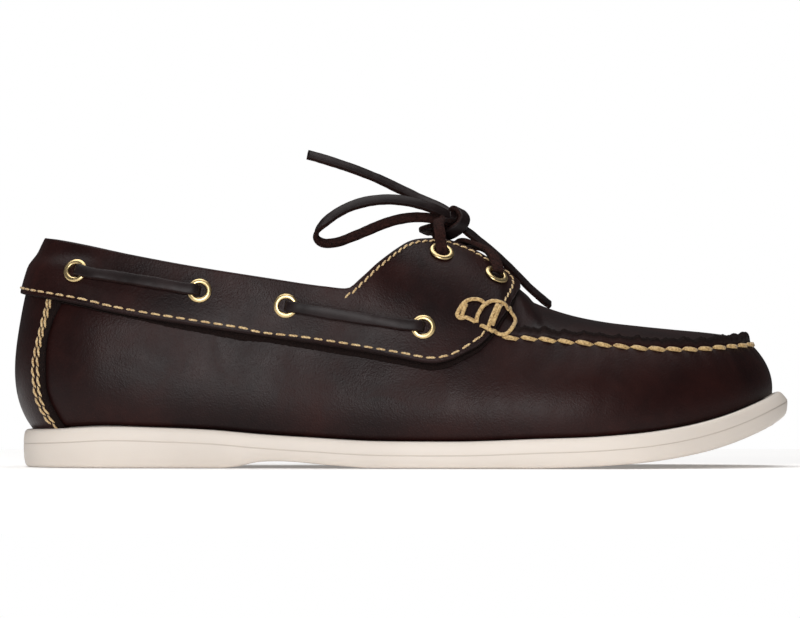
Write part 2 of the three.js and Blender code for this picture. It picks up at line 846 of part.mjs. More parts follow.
// Routes of the free lace, rear tab eyelets first. Each goes up to the knot and out of it.
const outerEnd = [
  [162.4, -22.8, 88.4],
  [162.2, -23.1, 90.2],
  [161.9, -22.4, 92.2],
  [161.7, -20.2, 94],
  [161.9, -16.8, 95.2],
  [162.6, -12.8, 95.8],
  [163.8, -8.8, 96],
  [165.4, -4, 96],
  [166.6, 0, 97],
  [165.2, 2.6, 99.2],
  [161.2, 4.4, 101.6],
  [155.6, 5.4, 103.9],
  [150.4, 5.6, 106.4],
  [145.4, 5.4, 108.7],
  [139.4, 4.8, 111.6],
  [133.4, 4, 114.1],
  [127.8, 3.2, 116.2],
  [122.4, 2.4, 118],
  [116.4, 1.6, 119.9],
  [110.6, 1, 121.5],
];
const innerEnd = [
  [162.4, 24.6, 88.4],
  [161.6, 24.9, 90.2],
  [160.6, 23.8, 91.8],
  [159.8, 21, 92.8],
  [159.9, 17, 93.2],
  [161, 12.6, 93.6],
  [163.2, 8.4, 94.2],
  [166.2, 4.2, 94.6],
  [169, 1.4, 94],
  [171.4, 0.4, 92.6],
  [173.6, 0.1, 91],
  [177, 0.2, 88.3],
  [180.6, 0.7, 85.4],
  [185.5, 2, 81.2],
  [189.8, 3.9, 77.2],
  [193.6, 6, 73.4],
  [197.1, 7.6, 69.8],
  [200.4, 8.6, 66.9],
  [203.7, 9.4, 64.6],
];
const bow = [
  [166, -2, 97.6],
  [163.4, -3.8, 98.8],
  [159.2, -5.4, 100.6],
  [153.4, -6.4, 102.4],
  [147.2, -7, 103.6],
  [140.9, -7.5, 103.9],
  [134.4, -8, 103.2],
  [128.2, -8.4, 101.5],
  [122.8, -8.8, 98.9],
  [118.2, -9.2, 95.6],
  [114.7, -9.4, 91.9],
  [114.2, -9.2, 88.8],
  [117.2, -8.8, 86.9],
  [122.4, -8.4, 87.3],
  [128, -8, 89.3],
  [133.8, -7.6, 91.7],
  [140, -7.2, 94.3],
  [146.4, -6.8, 96.2],
  [153, -6.4, 97],
  [159, -5.6, 96.6],
  [163, -4.2, 95.4],
];
const knotMiddle = [167, 0.5, 95.4];
const knotSize = { x: 4.8, y: 5, z: 5.2 };

const pointOf = ([x, y, z]) => new THREE.Vector3(x, y, z);
const cordRadius = laceWidth / 2;

// A round tube along part of a route, one step for about every two widths.
function makeTube(route) {
  const path = new THREE.CatmullRomCurve3(route.map(pointOf));
  const section = new THREE.Shape();
  for (let k = 0; k < 8; k += 1) {
    const angle = (Math.PI * k) / 4;
    const [x, y] = [Math.cos(angle) * cordRadius, Math.sin(angle) * cordRadius];
    if (k === 0) section.moveTo(x, y);
    else section.lineTo(x, y);
  }
  const steps = Math.max(3, Math.round(path.getLength() / (1.6 * laceWidth)));
  return new THREE.ExtrudeGeometry(section, { steps, bevelEnabled: false, extrudePath: path });
}

function makeKnot() {
  const ball = new THREE.SphereGeometry(1, 10, 6).scale(knotSize.x, knotSize.y, knotSize.z);
  return ball.rotateX(Math.PI / 2).translate(...knotMiddle);
}

// ---------- the shoe ----------

const shoe = new THREE.Group();

const finishes = {
  rubber: { color: 0xe2d7cd, roughness: 0.62, metalness: 0 },
  vampLeather: { color: 0x2c1a17, roughness: 0.42, metalness: 0 },
  bandLeather: { color: 0x31201c, roughness: 0.42, metalness: 0 },
  lining: { color: 0x6a4a34, roughness: 0.8, metalness: 0 },
  lace: { color: 0x241614, roughness: 0.6, metalness: 0 },
  brass: { color: 0xc9a35c, roughness: 0.25, metalness: 1 },
};

function addPiece(name, geometry, finish) {
  const mesh = new THREE.Mesh(geometry, new THREE.MeshStandardMaterial(finishes[finish]));
  mesh.name = name;
  shoe.add(mesh);
  return mesh;
}

addPiece("outsole", makeOutsole(), "rubber");
addPiece("insole", makeInsole(), "lining");
addPiece("upper", bored(makeUpper()), "vampLeather");
addPiece("collar_band", bored(makeBand()), "bandLeather");
addPiece("heel_counter", makeCounter(), "vampLeather");
addPiece("tongue", makeTongue(), "bandLeather");
for (const side of ["outer", "inner"]) {
  const { side: sidePlaces, tab: tabPlaces } = places[side];
  sidePlaces.forEach((place, i) => addPiece(`eyelet_${side}_${i + 1}`, makeEyelet(place), "brass"));
  tabPlaces.forEach((place, i) => addPiece(`eyelet_${side}_tab_${i + 1}`, makeEyelet(place), "brass"));
  addPiece(`lace_${side}_rear`, makeSideRun(sidePlaces[0], sidePlaces[1]), "lace");
  addPiece(`lace_${side}_front`, makeSideRun(sidePlaces[2], sidePlaces[3]), "lace");
}
addPiece("lace_throat", makeThroatLace(), "lace");

// The origin lies on the floor under the middle of everything but the free lace.
const box = new THREE.Box3().setFromObject(shoe);
shoe.position.set(-(box.min.x + box.max.x) / 2, -(box.min.y + box.max.y) / 2, -box.min.z);

addPiece("cord_riser_outer", makeTube(outerEnd.slice(0, 6)), "lace");
addPiece("cord_riser_inner", makeTube(innerEnd.slice(0, 6)), "lace");
addPiece("cord_knot", makeKnot(), "lace");
addPiece("cord_bow", makeTube(bow.slice(2, -2)), "lace");
addPiece("cord_end_rear", makeTube(outerEnd.slice(10)), "lace");
addPiece("cord_end_front", makeTube(innerEnd.slice(10)), "lace");

export default shoe;
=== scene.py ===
# Boat shoe for the right foot: the seen surfaces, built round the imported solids.
# The tables below are in millimetres, with lengths along the shoe from the back of the sole.
import math

import bmesh
import bpy
import numpy as np
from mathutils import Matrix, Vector


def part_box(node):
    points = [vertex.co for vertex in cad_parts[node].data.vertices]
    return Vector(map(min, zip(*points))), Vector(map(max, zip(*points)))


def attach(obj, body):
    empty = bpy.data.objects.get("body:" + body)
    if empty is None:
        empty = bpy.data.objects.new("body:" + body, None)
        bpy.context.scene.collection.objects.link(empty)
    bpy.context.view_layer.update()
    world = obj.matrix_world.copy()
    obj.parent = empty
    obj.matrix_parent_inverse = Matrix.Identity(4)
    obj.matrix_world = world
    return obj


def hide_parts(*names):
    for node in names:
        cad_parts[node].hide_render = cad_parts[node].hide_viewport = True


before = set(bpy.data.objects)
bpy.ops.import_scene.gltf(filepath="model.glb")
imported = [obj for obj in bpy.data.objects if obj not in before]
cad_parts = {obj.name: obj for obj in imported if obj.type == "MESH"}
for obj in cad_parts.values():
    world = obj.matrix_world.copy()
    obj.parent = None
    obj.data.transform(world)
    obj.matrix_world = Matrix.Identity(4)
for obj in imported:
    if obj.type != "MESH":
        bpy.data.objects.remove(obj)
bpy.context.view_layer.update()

scene = bpy.context.scene

# camera: level, square to the outer side, a long lens
cameraSetup = {"distance": 3.2, "height": 0.0613, "across": -0.0006, "width": 0.31186}
camera = bpy.data.objects.new("camera", bpy.data.cameras.new("camera"))
scene.collection.objects.link(camera)
camera.location = (cameraSetup["across"], -cameraSetup["distance"], cameraSetup["height"])
camera.rotation_euler = (math.pi / 2, 0, 0)
camera.data.sensor_width = 36
camera.data.lens = 36 * cameraSetup["distance"] / cameraSetup["width"]
camera.data.clip_end = 60
scene.camera = camera

# the form of the shoe, from the same tables as the solids
form = {
    "soleLength": 298.0,
    "leather": 1.9,
    "gap": 0.3,
    "bandStand": 0.5,  # inner face of the band over the upper
    "bandLeather": 1.7,
    "counterLeather": 1.4,
    "tongueLeather": 1.8,
    "toeSwing": 6.0,
    "throatFront": 190.0,
    "plugFrom": 183.5,
    "plugFull": 193.0,
    "lipWidth": 5.5,
    "lipStep": 3.0,
    "lipHeight": 3.0,
    "lipShare": 0.3,
}
solePlan = [  # x, half width to the outer side, to the inner side
    (0, 0, 0), (8, 21.5, 21.5), (20, 30.5, 30.5), (40, 35.5, 35), (65, 37, 35.5),
    (95, 38.5, 33.5), (125, 42, 33.5), (155, 46.5, 37.5), (185, 50.5, 44), (210, 52.5, 49),
    (230, 51.4, 51), (250, 46.6, 50), (268, 38, 45.6), (283, 26, 37), (293, 13, 25),
    (298, -6, 6),
]
soleTread = [  # x, z
    (0, 0), (78, 0), (84, 0.6), (92, 2.3), (100, 2.6), (120, 1.1), (137, 0), (195, 0),
    (212, 0.35), (230, 1.3), (243, 2.5), (255, 4.3), (268, 7.2), (280, 11.2), (290, 15.6),
    (298, 20.2),
]
soleRim = [  # x, z
    (0, 14.5), (15, 15.1), (35, 16), (52, 15.6), (75, 14.6), (92, 13.1), (112, 11.8),
    (140, 10.4), (165, 10.3), (200, 11.4), (225, 12.4), (249, 14.9), (262, 17.4),
    (274, 20.8), (286, 25.4), (298, 31),
]
wallRows = [  # x, bare rim, waist inset, waist height, lean at the foot, into the waist
    (0, 5.5, -5.9, 52, 50, 99), (20, 4, -3.6, 52, 60, 97), (40, 3, -1.2, 51.8, 68, 95),
    (65, 3, -0.4, 51.5, 72, 93), (95, 3, 0.6, 51, 72, 93), (125, 3, 2.2, 50.6, 72, 96),
    (155, 3, 5, 50.6, 73, 103), (175, 3, 8, 50.6, 74, 111), (192, 3, 10.3, 50.4, 75, 119),
    (210, 3, 11.3, 49, 76, 126), (230, 3.2, 11.3, 47.4, 78, 130), (250, 3.6, 11, 46, 80, 132),
    (268, 4.6, 10, 45.8, 83, 134), (283, 5.4, 9, 46.6, 84, 135), (298, 6, 8, 47.4, 84, 136),
]
crestRows = [  # x, own length, half width, height, lean
    (0, 10.2, 0, 87.8, 118), (8, 13.6, 12.5, 87.5, 111), (20, 23.2, 19.5, 85.9, 103),
    (40, 41.5, 25.5, 82, 97), (65, 65.5, 29.5, 77.5, 95), (95, 95, 33, 72.8, 95),
    (118, 118, 35.8, 69.4, 97), (126, 126, 36, 68.6, 99), (132, 132, 34.6, 73, 107),
    (139, 139, 31, 79.2, 120), (144, 144, 26.8, 82.9, 130), (149, 149, 22, 85.7, 141),
    (154, 154, 18, 86.9, 149), (160, 160, 14.8, 87, 154), (170, 170, 12.4, 84.8, 157),
    (180, 180, 12, 79.6, 156), (187, 187, 12.8, 74.9, 154), (193, 192.8, 14.6, 69.4, 153),
    (198, 196.6, 9, 66.2, 165), (202, 198.4, 0, 64.1, 172), (212, 206.5, 0, 61, 175),
    (230, 221.5, 0, 57, 175), (250, 236, 0, 55, 175), (268, 248, 0, 53.9, 175),
    (283, 256.5, 0, 53, 175), (298, 261, 0, 52.7, 175),
]
spineRows = [  # x, z
    (190, 68.2), (198, 64.2), (204, 61.8), (214, 58.7), (226, 56.3), (240, 54.6),
    (254, 53.2), (266, 52.1), (286, 49.8),
]
bandEdge = [  # x, z
    (0, 67), (12, 64.4), (43, 58.2), (74, 53.5), (105, 48.9), (126, 45.6), (147, 41.9),
    (159.5, 39.8), (165, 40.7), (171.5, 43.5), (178.5, 47.6), (182.2, 51.6), (185.5, 56.7),
    (188.2, 61.4), (190.8, 65.4), (192.4, 68),
]
counterEdge = [  # z, x
    (14, 18.8), (21, 14.2), (28, 10.9), (37, 10), (45, 10.2), (57, 13), (63, 15.9), (74, 19),
]
tongueRows = [  # x, z, half width
    (149, 84.6, 18), (158, 81.4, 19), (170, 75.6, 19.5), (182, 69.4, 18.5), (193, 63.4, 16.5),
    (204, 57.6, 13),
]
sideEyelets = [(21.3, 76), (69.3, 68.3), (102.7, 62.5), (155.6, 54.3)]  # x, z
tabEyelets = [162.3, 183]


def curveThrough(places, values):
    x, y = np.asarray(places, float), np.asarray(values, float)
    step = np.diff(x)
    rise = np.diff(y) / step
    mean = (rise[:-1] * step[1:] + rise[1:] * step[:-1]) / (step[1:] + step[:-1])
    most = 3 * np.minimum(abs(rise[:-1]), abs(rise[1:]))
    inner = np.sign(mean) * np.minimum(abs(mean), most)
    inner[rise[:-1] * rise[1:] <= 0] = 0
    slope = np.concatenate([rise[:1], inner, rise[-1:]])

    def curve(place):
        place = np.asarray(place, float)
        i = np.clip(np.searchsorted(x, place) - 1, 0, len(x) - 2)
        q = np.clip((place - x[i]) / step[i], 0, 1)
        rest = 1 - q
        return (y[i] * (1 + 2 * q) * rest**2 + slope[i] * step[i] * q * rest**2
                + y[i + 1] * q**2 * (3 - 2 * q) - slope[i + 1] * step[i] * q**2 * rest)

    return curve


def column(rows, key):
    return curveThrough([row[0] for row in rows], [row[key] for row in rows])


# a place round the shoe is a turn: 0 heel, 1 toe along the outer side, 2 heel again
def turnAt(x):
    return np.arccos(1 - 2 * np.asarray(x, float) / form["soleLength"]) / math.pi


def lengthAt(turn):
    return form["soleLength"] * (1 - np.cos(math.pi * turn)) / 2


def roundCurve(rows, outerValue, innerValue):
    turns = [float(turnAt(row[0])) for row in rows]
    there = [(turn, outerValue(row)) for turn, row in zip(turns, rows)]
    back = [(2 - turn, innerValue(row)) for turn, row in list(zip(turns, rows))[1:-1]][::-1]
    once = there + back
    once = [(t - 2, v) for t, v in once[-3:]] + once + [(t + 2, v) for t, v in once[:3]]
    return curveThrough([t for t, v in once], [v for t, v in once])


outlineY = roundCurve(solePlan, lambda row: -row[1], lambda row: row[2])
treadZ = column(soleTread, 1)
rimZ = column(soleRim, 1)
spineZ = column(spineRows, 1)
wall = {name: roundCurve(wallRows, lambda row, i=i: row[i], lambda row, i=i: row[i])
        for i, name in enumerate(["rim", "waistIn", "waistZ", "footLean", "waistLean"], 1)}
crest = {name: roundCurve(crestRows, lambda row, i=i: row[i], lambda row, i=i: row[i])
         for i, name in ((1, "along"), (3, "z"), (4, "lean"))}
crest["half"] = roundCurve(crestRows, lambda row: -row[2], lambda row: row[2])

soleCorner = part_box("outsole")[0]
shift = np.array([soleCorner.x * 1000,
                  soleCorner.y * 1000 - outlineY(np.linspace(0, 2, 2001)).min(), 0])


def toScene(points):
    return (np.asarray(points, float) + shift) / 1000


def unit(vectors):
    return vectors / np.maximum(np.linalg.norm(vectors, axis=-1, keepdims=True), 1e-12)


def stack(x, y, z):
    return np.stack(np.broadcast_arrays(x, y, z), -1).astype(float)


def ramp(value, low, high):
    q = np.clip((value - low) / (high - low), 0, 1)
    return q * q * (3 - 2 * q)


def middleY(x):
    return form["toeSwing"] * np.maximum(0, (x - 150) / (form["soleLength"] - 150)) ** 2


def outward(turn):
    step = 1e-4
    dx = lengthAt(turn + step) - lengthAt(turn - step)
    dy = outlineY((turn + step) % 2) - outlineY((turn - step) % 2)
    return unit(stack(dy, -dx, 0))


def outlinePoint(turn, inset):
    return stack(lengthAt(turn), outlineY(turn), 0) - outward(turn) * np.asarray(inset)[..., None]


def leaning(out, lean, length):
    lean = np.radians(lean)
    return (out * (np.cos(lean) * length)[..., None]
            + stack(0, 0, 1) * (np.sin(lean) * length)[..., None])


def bezier(a, b, c, d, q):
    q = q[..., None]
    rest = 1 - q
    return a * rest**3 + 3 * b * rest**2 * q + 3 * c * rest * q**2 + d * q**3


def isSpine(turn):  # where the top line is the middle of the plug
    turn = turn % 2
    return (crest["along"](turn) > form["throatFront"]) & (abs(crest["half"](turn)) < 0.01)


# a point of the upper's outer face. level: 0 at the sole, 1 at the seam line, 2 at the top line
def facePoint(turn, level, lip=1.0):
    turn, level, lip = np.broadcast_arrays(np.asarray(turn, float) % 2, level, lip)
    out = outward(turn)
    foot = outlinePoint(turn, wall["rim"](turn))
    foot[..., 2] = rimZ(foot[..., 0]) + form["gap"]
    waist = foot - out * wall["waistIn"](turn)[..., None]
    waist[..., 2] = wall["waistZ"](turn)
    along, half = crest["along"](turn), crest["half"](turn)
    onSpine = isSpine(turn)
    top = stack(along, middleY(along) + np.where(onSpine, 0, half),
                np.where(onSpine, spineZ(along), crest["z"](turn)))
    low = 0.36 * np.linalg.norm(waist - foot, axis=-1)
    high = 0.36 * np.linalg.norm(top - waist, axis=-1)
    lean = wall["waistLean"](turn)
    under = bezier(foot, foot + leaning(out, wall["footLean"](turn), low),
                   waist - leaning(out, lean, low), waist, np.minimum(level, 1))
    q = np.maximum(level - 1, 0)
    quarter = bezier(waist, waist + leaning(out, lean, high),
                     top - leaning(out, crest["lean"](turn), high), top, q)
    edge = waist - out * form["lipWidth"]
    edge[..., 2] += form["lipStep"]
    across = np.minimum(q / form["lipShare"], 1)
    rim = waist + (edge - waist) * across[..., None]
    rim[..., 2] += lip * form["lipHeight"] * np.sin(math.pi * across**0.65)
    inner = np.maximum(q - form["lipShare"], 0) / (1 - form["lipShare"])
    plug = edge + (top - edge) * inner[..., None]
    fall = spineZ(edge[..., 0]) - edge[..., 2]
    rise = top[..., 2] - spineZ(top[..., 0])
    plug[..., 2] = spineZ(plug[..., 0]) - fall * (1 - inner) ** 2 + rise * inner**2
    plug = np.where((q < form["lipShare"])[..., None], rim, plug)
    share = ramp(lengthAt(turn), form["plugFrom"], form["plugFull"])[..., None]
    return np.where((level <= 1)[..., None], under, quarter * (1 - share) + plug * share)


def faceNormal(turn, level):
    turn, level = np.broadcast_arrays(np.asarray(turn, float), level)
    step = 1e-3
    up = (facePoint(turn, np.minimum(2, level + step), 0)
          - facePoint(turn, np.maximum(0, level - step), 0))
    flat = np.minimum(level, 2 - step)
    ahead = facePoint(turn + step, flat, 0) - facePoint(turn - step, flat, 0)
    normal = unit(np.cross(ahead, up))
    along = crest["along"](turn % 2)
    onSpine = isSpine(turn) & (level > 2 - step)
    spine = unit(stack(spineZ(along - step) - spineZ(along + step), 0, 2 * step))
    return np.where(onSpine[..., None], spine, normal)


def offsetPoint(turn, level, offset, lip=0.0):
    return facePoint(turn, level, lip) + faceNormal(turn, level) * np.asarray(offset)[..., None]


def bisect(low, high, below):
    for _ in range(26):
        middle = (low + high) / 2
        under = below(middle)
        low, high = np.where(under, middle, low), np.where(under, high, middle)
    return (low + high) / 2


def levelAtHeight(turn, z):
    zero = np.zeros(np.broadcast(turn, z).shape)
    return bisect(zero, zero + 2, lambda level: facePoint(turn, level, 0)[..., 2] < z)


def turnAtLength(x, levelOf):
    zero = np.zeros(np.shape(x))
    return bisect(zero, zero + 0.9, lambda turn: facePoint(turn, levelOf(turn), 0)[..., 0] < x)


def levelLength(turn, level):  # millimetres of leather in one level
    low, high = np.clip(level - 0.02, 0, 2), np.clip(level + 0.02, 0, 2)
    run = facePoint(turn, high, 0) - facePoint(turn, low, 0)
    return np.linalg.norm(run, axis=-1) / (high - low)


def runAlong(points):
    steps = np.linalg.norm(np.diff(points, axis=0), axis=1)
    return np.concatenate([[0], np.cumsum(steps)])


def evenTurns(start, end, spacing, level=1.0):  # turns a given distance apart along a level
    fine = np.linspace(start, end, 600)
    run = runAlong(facePoint(fine, level, 0))
    count = max(2, int(round(run[-1] / spacing)) + 1)
    return np.interp(np.linspace(0, run[-1], count), run, fine)


def spacedLine(points, spacing):  # a smooth line through points, evenly spaced
    points = np.asarray(points, float)
    ends = np.vstack([2 * points[0] - points[1], points, 2 * points[-1] - points[-2]])
    q = np.linspace(0, 1, 24, endpoint=False)[:, None]
    parts = []
    for a, b, c, d in zip(ends, ends[1:], ends[2:], ends[3:]):
        parts.append(0.5 * (2 * b + (c - a) * q + (2 * a - 5 * b + 4 * c - d) * q**2
                            + (3 * b - a - 3 * c + d) * q**3))
    line = np.vstack(parts + [points[-1:]])
    run = runAlong(line[:, :3])
    count = max(2, int(round(run[-1] / spacing)) + 1)
    places = np.linspace(0, run[-1], count)
    return np.stack([np.interp(places, run, line[:, i]) for i in range(line.shape[1])], 1)


def lineLength(points):
    return float(np.linalg.norm(np.diff(points[:, :3], axis=0), axis=1).sum())


def wobble(*places):  # a soft, fixed unevenness between about -1 and 1
    total = 0
    for k, place in enumerate(places):
        place = np.asarray(place, float)
        total = total + np.sin(place + 1.7 * k) + 0.6 * np.sin(place * 2.31 + 0.4 + k)
        total = total + 0.4 * np.sin(place * 4.73 + 2.2 - k)
    return total / (1.4 * len(places))


# places on the band
def bandOffset(turn, level, stand=form["bandStand"]):
    point = facePoint(turn, level, 0)
    nearHeel = 1 - ramp(point[..., 0], 24, 36)
    overCounter = 1 - ramp(point[..., 2], 76, 83)
    return stand + (form["counterLeather"] + form["gap"]) * nearHeel * overCounter


def bandPlace(turn, level):
    turn, level = float(turn), float(level)
    return {"turn": turn, "level": level, "middle": facePoint(turn, level, 0),
            "out": faceNormal(turn, level),
            "stand": float(bandOffset(turn, level)) + form["bandLeather"]}


def mirrored(place):
    return bandPlace((2 - place["turn"]) % 2, place["level"])


def tabPlace(x, side="outer", inset=9.5):  # a place a little way down a tab
    turn, level = float(turnAt(x)), 1.8
    for _ in range(8):
        section = facePoint(turn, np.linspace(1, 2, 60), 0)
        level = 2 - inset / lineLength(section)
        turn = float(turnAtLength(np.array(x), lambda t: level))
    place = bandPlace(turn, level)
    return place if side == "outer" else mirrored(place)


bandLowZ = column(bandEdge, 1)
bandTurns = np.linspace(0, 2, 1601)
bandLevels = np.ones(len(bandTurns))
for _ in range(10):
    along = facePoint(bandTurns, bandLevels, 0)[:, 0]
    bandLevels = levelAtHeight(bandTurns, bandLowZ(along))


def bandLevel(turn):  # lowest level of the band
    return np.interp(turn % 2, bandTurns, bandLevels)


def bandHeight(turn, level):
    return bandOffset(turn, level) + form["bandLeather"]


def seenPlaces(points, standing):  # turn and level of places seen from the side: x, z
    x, z = np.array(points, float).T
    turn, level = turnAt(x), np.full(len(x), 1.4)
    for _ in range(8):
        normal = faceNormal(turn, level)
        height = standing(turn, level)
        level = levelAtHeight(turn, z - normal[:, 2] * height)
        fixed = level
        turn = turnAtLength(x - normal[:, 0] * height, lambda t: fixed)
    return turn, level


def sidePlace(x, z, side="outer"):
    turn, level = seenPlaces([(x, z)], bandHeight)
    place = bandPlace(turn[0], level[0])
    return place if side == "outer" else mirrored(place)


# meshes
def gridFaces(count, rows, start=0, closeAlong=False, closeAcross=False):
    i = np.arange(count if closeAlong else count - 1)[:, None]
    j = np.arange(rows if closeAcross else rows - 1)[None, :]
    ahead, up = (i + 1) % count, (j + 1) % rows
    faces = np.stack([i * rows + j, ahead * rows + j, ahead * rows + up, i * rows + up], -1)
    return faces.reshape(-1, 4) + start


def loopCap(start, rows, flip):  # closes a loop with strips across it
    faces = []
    for j in range((rows - 1) // 2):
        quad = [start + j, start + j + 1, start + rows - 2 - j, start + rows - 1 - j]
        quad = list(dict.fromkeys(quad))
        faces.append(quad[::-1] if flip else quad)
    return faces


def makePiece(name, points, faces, materials, faceMaterial=None, merge=False, **values):
    mesh = bpy.data.meshes.new(name)
    mesh.from_pydata(toScene(np.reshape(points, (-1, 3))), [], [tuple(map(int, f)) for f in faces])
    for material in materials:
        mesh.materials.append(material)
    if faceMaterial is not None:
        mesh.polygons.foreach_set("material_index", np.asarray(faceMaterial, np.int32))
    for key, value in values.items():
        attribute = mesh.attributes.new(key, "FLOAT", "POINT")
        attribute.data.foreach_set("value", np.ravel(value).astype(np.float32))
    if merge:
        work = bmesh.new()
        work.from_mesh(mesh)
        bmesh.ops.remove_doubles(work, verts=work.verts, dist=2e-6)
        bmesh.ops.dissolve_degenerate(work, edges=work.edges, dist=1e-7)
        work.to_mesh(mesh)
        work.free()
    mesh.shade_smooth()
    piece = bpy.data.objects.new(name, mesh)
    scene.collection.objects.link(piece)
    return piece


def loopPiece(name, columns, materials, **values):  # loops along a length, capped at both ends
    points = np.stack(columns, 1)
    count, rows = points.shape[:2]
    faces = list(gridFaces(count, rows, closeAcross=True))
    faces += loopCap(0, rows, True) + loopCap((count - 1) * rows, rows, False)
    return makePiece(name, points, faces, materials, **values)


def ringPiece(name, columns, materials, **values):  # rings round the shoe, closed by strips
    points = np.stack(columns, 1)
    count, rows = points.shape[:2]
    faces = list(gridFaces(count, rows, closeAlong=True))
    for i in range(count // 2):
        strip = [i, i + 1, (count - i - 1) % count, (count - i) % count]
        top = [k * rows + rows - 1 for k in strip]
        low = [k * rows for k in strip[::-1]]
        for quad in (top, low):
            quad = list(dict.fromkeys(quad))
            if len(quad) > 2:
                faces.append(quad)
    return makePiece(name, points, faces, materials, **values)


def settle(piece, slot, *nodes):
    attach(piece, "root")
    if nodes:
        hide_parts(*nodes)


# materials
def colour(code):
    parts = [int(code[i:i + 2], 16) / 255 for i in (1, 3, 5)]
    return [p / 12.92 if p <= 0.04045 else ((p + 0.055) / 1.055) ** 2.4 for p in parts] + [1]


def addNode(tree, kind, settings=None, links=None):
    node = tree.nodes.new(kind)
    for key, value in (settings or {}).items():
        if isinstance(key, int) or key in node.inputs:
            node.inputs[key].default_value = value
        else:
            setattr(node, key, value)
    for key, source in (links or {}).items():
        tree.links.new(source, node.inputs[key])
    return node


def newMaterial(name, **settings):
    material = bpy.data.materials.new(name)
    material.use_nodes = True
    tree = material.node_tree
    shader = tree.nodes["Principled BSDF"]
    for key, value in settings.items():
        shader.inputs[key.replace("_", " ")].default_value = value
    where = addNode(tree, "ShaderNodeTexCoord").outputs["Object"]
    return material, tree, shader, where


def noise(tree, where, scale, detail=3, rough=0.55, **more):
    settings = {"Scale": scale, "Detail": detail, "Roughness": rough, **more}
    return addNode(tree, "ShaderNodeTexNoise", settings, {"Vector": where}).outputs["Fac"]


def blendColour(tree, share, first, second):  # share 0 gives the first
    node = addNode(tree, "ShaderNodeMix", {"data_type": "RGBA"})
    for key, value in ((0, share), (6, first), (7, second)):
        if isinstance(value, (list, float, int)):
            node.inputs[key].default_value = value
        else:
            tree.links.new(value, node.inputs[key])
    return node.outputs[2]


def spread(tree, value, low, high, start=0.0, end=1.0):
    settings = {"From Min": low, "From Max": high, "To Min": start, "To Max": end}
    return addNode(tree, "ShaderNodeMapRange", settings, {"Value": value}).outputs["Result"]


def feed(tree, shader, **sources):
    for key, source in sources.items():
        tree.links.new(source, shader.inputs[key.replace("_", " ")])


def mottled(tree, value, low, high, first, second):  # two colours, by a value between two levels
    return blendColour(tree, spread(tree, value, low, high), colour(first), colour(second))


def sums(tree, operation, first, second):
    node = addNode(tree, "ShaderNodeMath", {"operation": operation})
    for i, value in enumerate((first, second)):
        if isinstance(value, (float, int)):
            node.inputs[i].default_value = value
        else:
            tree.links.new(value, node.inputs[i])
    return node.outputs[0]


def valueOf(tree, name):
    return addNode(tree, "ShaderNodeAttribute", {"attribute_name": name}).outputs["Fac"]


def bump(tree, height, distance, strength=1.0, under=None):
    links = {"Height": height}
    if under is not None:
        links["Normal"] = under
    settings = {"Distance": distance, "Strength": strength}
    return addNode(tree, "ShaderNodeBump", settings, links).outputs["Normal"]


# oiled pull-up cowhide: waxy, uneven burgundy brown that greys where it catches the light,
# with a fine tight grain. raw marks cut edges, whose fibres are dull and dark
leatherLook = {"deep": "#150909", "body": "#26110f", "warm": "#3a1914", "edge": "#130b0a",
               "fibre": "#1e110e", "warmShare": 0.25, "fleckShare": 0.35, "cloudSize": 0.05,
               "fleckSize": 0.006, "patchSize": 0.021, "fibreSize": 0.0009, "grainSize": 0.0011,
               "grainDeep": 0.00012, "poreSize": 0.0007, "poreDeep": 0.00016, "fuzz": 0.0012,
               "specular": 0.125, "shine": 0.35, "dull": 0.47, "rawDull": 0.9}


def oiledLeather(name, look):
    material, tree, shader, where = newMaterial(name, Specular_IOR_Level=look["specular"])
    cloud = noise(tree, where, 1 / look["cloudSize"], 4, 0.6)
    fleck = noise(tree, where, 1 / look["fleckSize"], 3, 0.7)
    patch = noise(tree, where, 1 / look["patchSize"], 3, 0.65, Distortion=0.8)
    base = mottled(tree, cloud, 0.38, 0.62, look["deep"], look["body"])
    base = blendColour(tree, spread(tree, patch, 0.5, 0.8, 0, look["warmShare"]), base,
                       colour(look["warm"]))
    base = blendColour(tree, spread(tree, fleck, 0.3, 0.75, 0, look["fleckShare"]), base,
                       colour(look["deep"]))
    raw = valueOf(tree, "raw")
    fibre = noise(tree, where, 1 / look["fibreSize"], 4, 0.7)
    rawColour = mottled(tree, fibre, 0.35, 0.7, look["edge"], look["fibre"])
    gloss = spread(tree, patch, 0.3, 0.75, look["shine"], look["dull"])
    gloss = addNode(tree, "ShaderNodeMix", {3: look["rawDull"]}, {0: raw, 2: gloss}).outputs[0]
    grain = addNode(tree, "ShaderNodeTexVoronoi",
                    {"feature": "SMOOTH_F1", "Scale": 1 / look["grainSize"], "Randomness": 1.0},
                    {"Vector": where}).outputs["Distance"]
    pore = noise(tree, where, 1 / look["poreSize"], 2, 0.6)
    normal = bump(tree, grain, look["grainDeep"], 0.25)
    normal = bump(tree, pore, look["poreDeep"], 0.8, normal)
    normal = bump(tree, sums(tree, "MULTIPLY", fibre, raw), look["fuzz"], 1.0, normal)
    feed(tree, shader, Base_Color=blendColour(tree, raw, base, rawColour), Roughness=gloss,
         Normal=normal)
    return material


vampLeather = oiledLeather("oiled_cowhide_vamp", leatherLook)
bandLeather = oiledLeather("oiled_cowhide_band", {**leatherLook, "cloudSize": 0.035})

# calf lining leather: dull, pale brown, with soft small creases
liningLook = {"rough": 0.78, "cloudSize": 0.03, "creaseSize": 0.0016, "creaseDeep": 0.0002}


def liningLeather(name, light, dark):
    material, tree, shader, where = newMaterial(name, Roughness=liningLook["rough"])
    cloud = noise(tree, where, 1 / liningLook["cloudSize"], 4, 0.6)
    crease = noise(tree, where, 1 / liningLook["creaseSize"], 4, 0.65, Distortion=0.6)
    feed(tree, shader, Base_Color=mottled(tree, cloud, 0.35, 0.65, dark, light),
         Normal=bump(tree, crease, liningLook["creaseDeep"], 0.5))
    return material


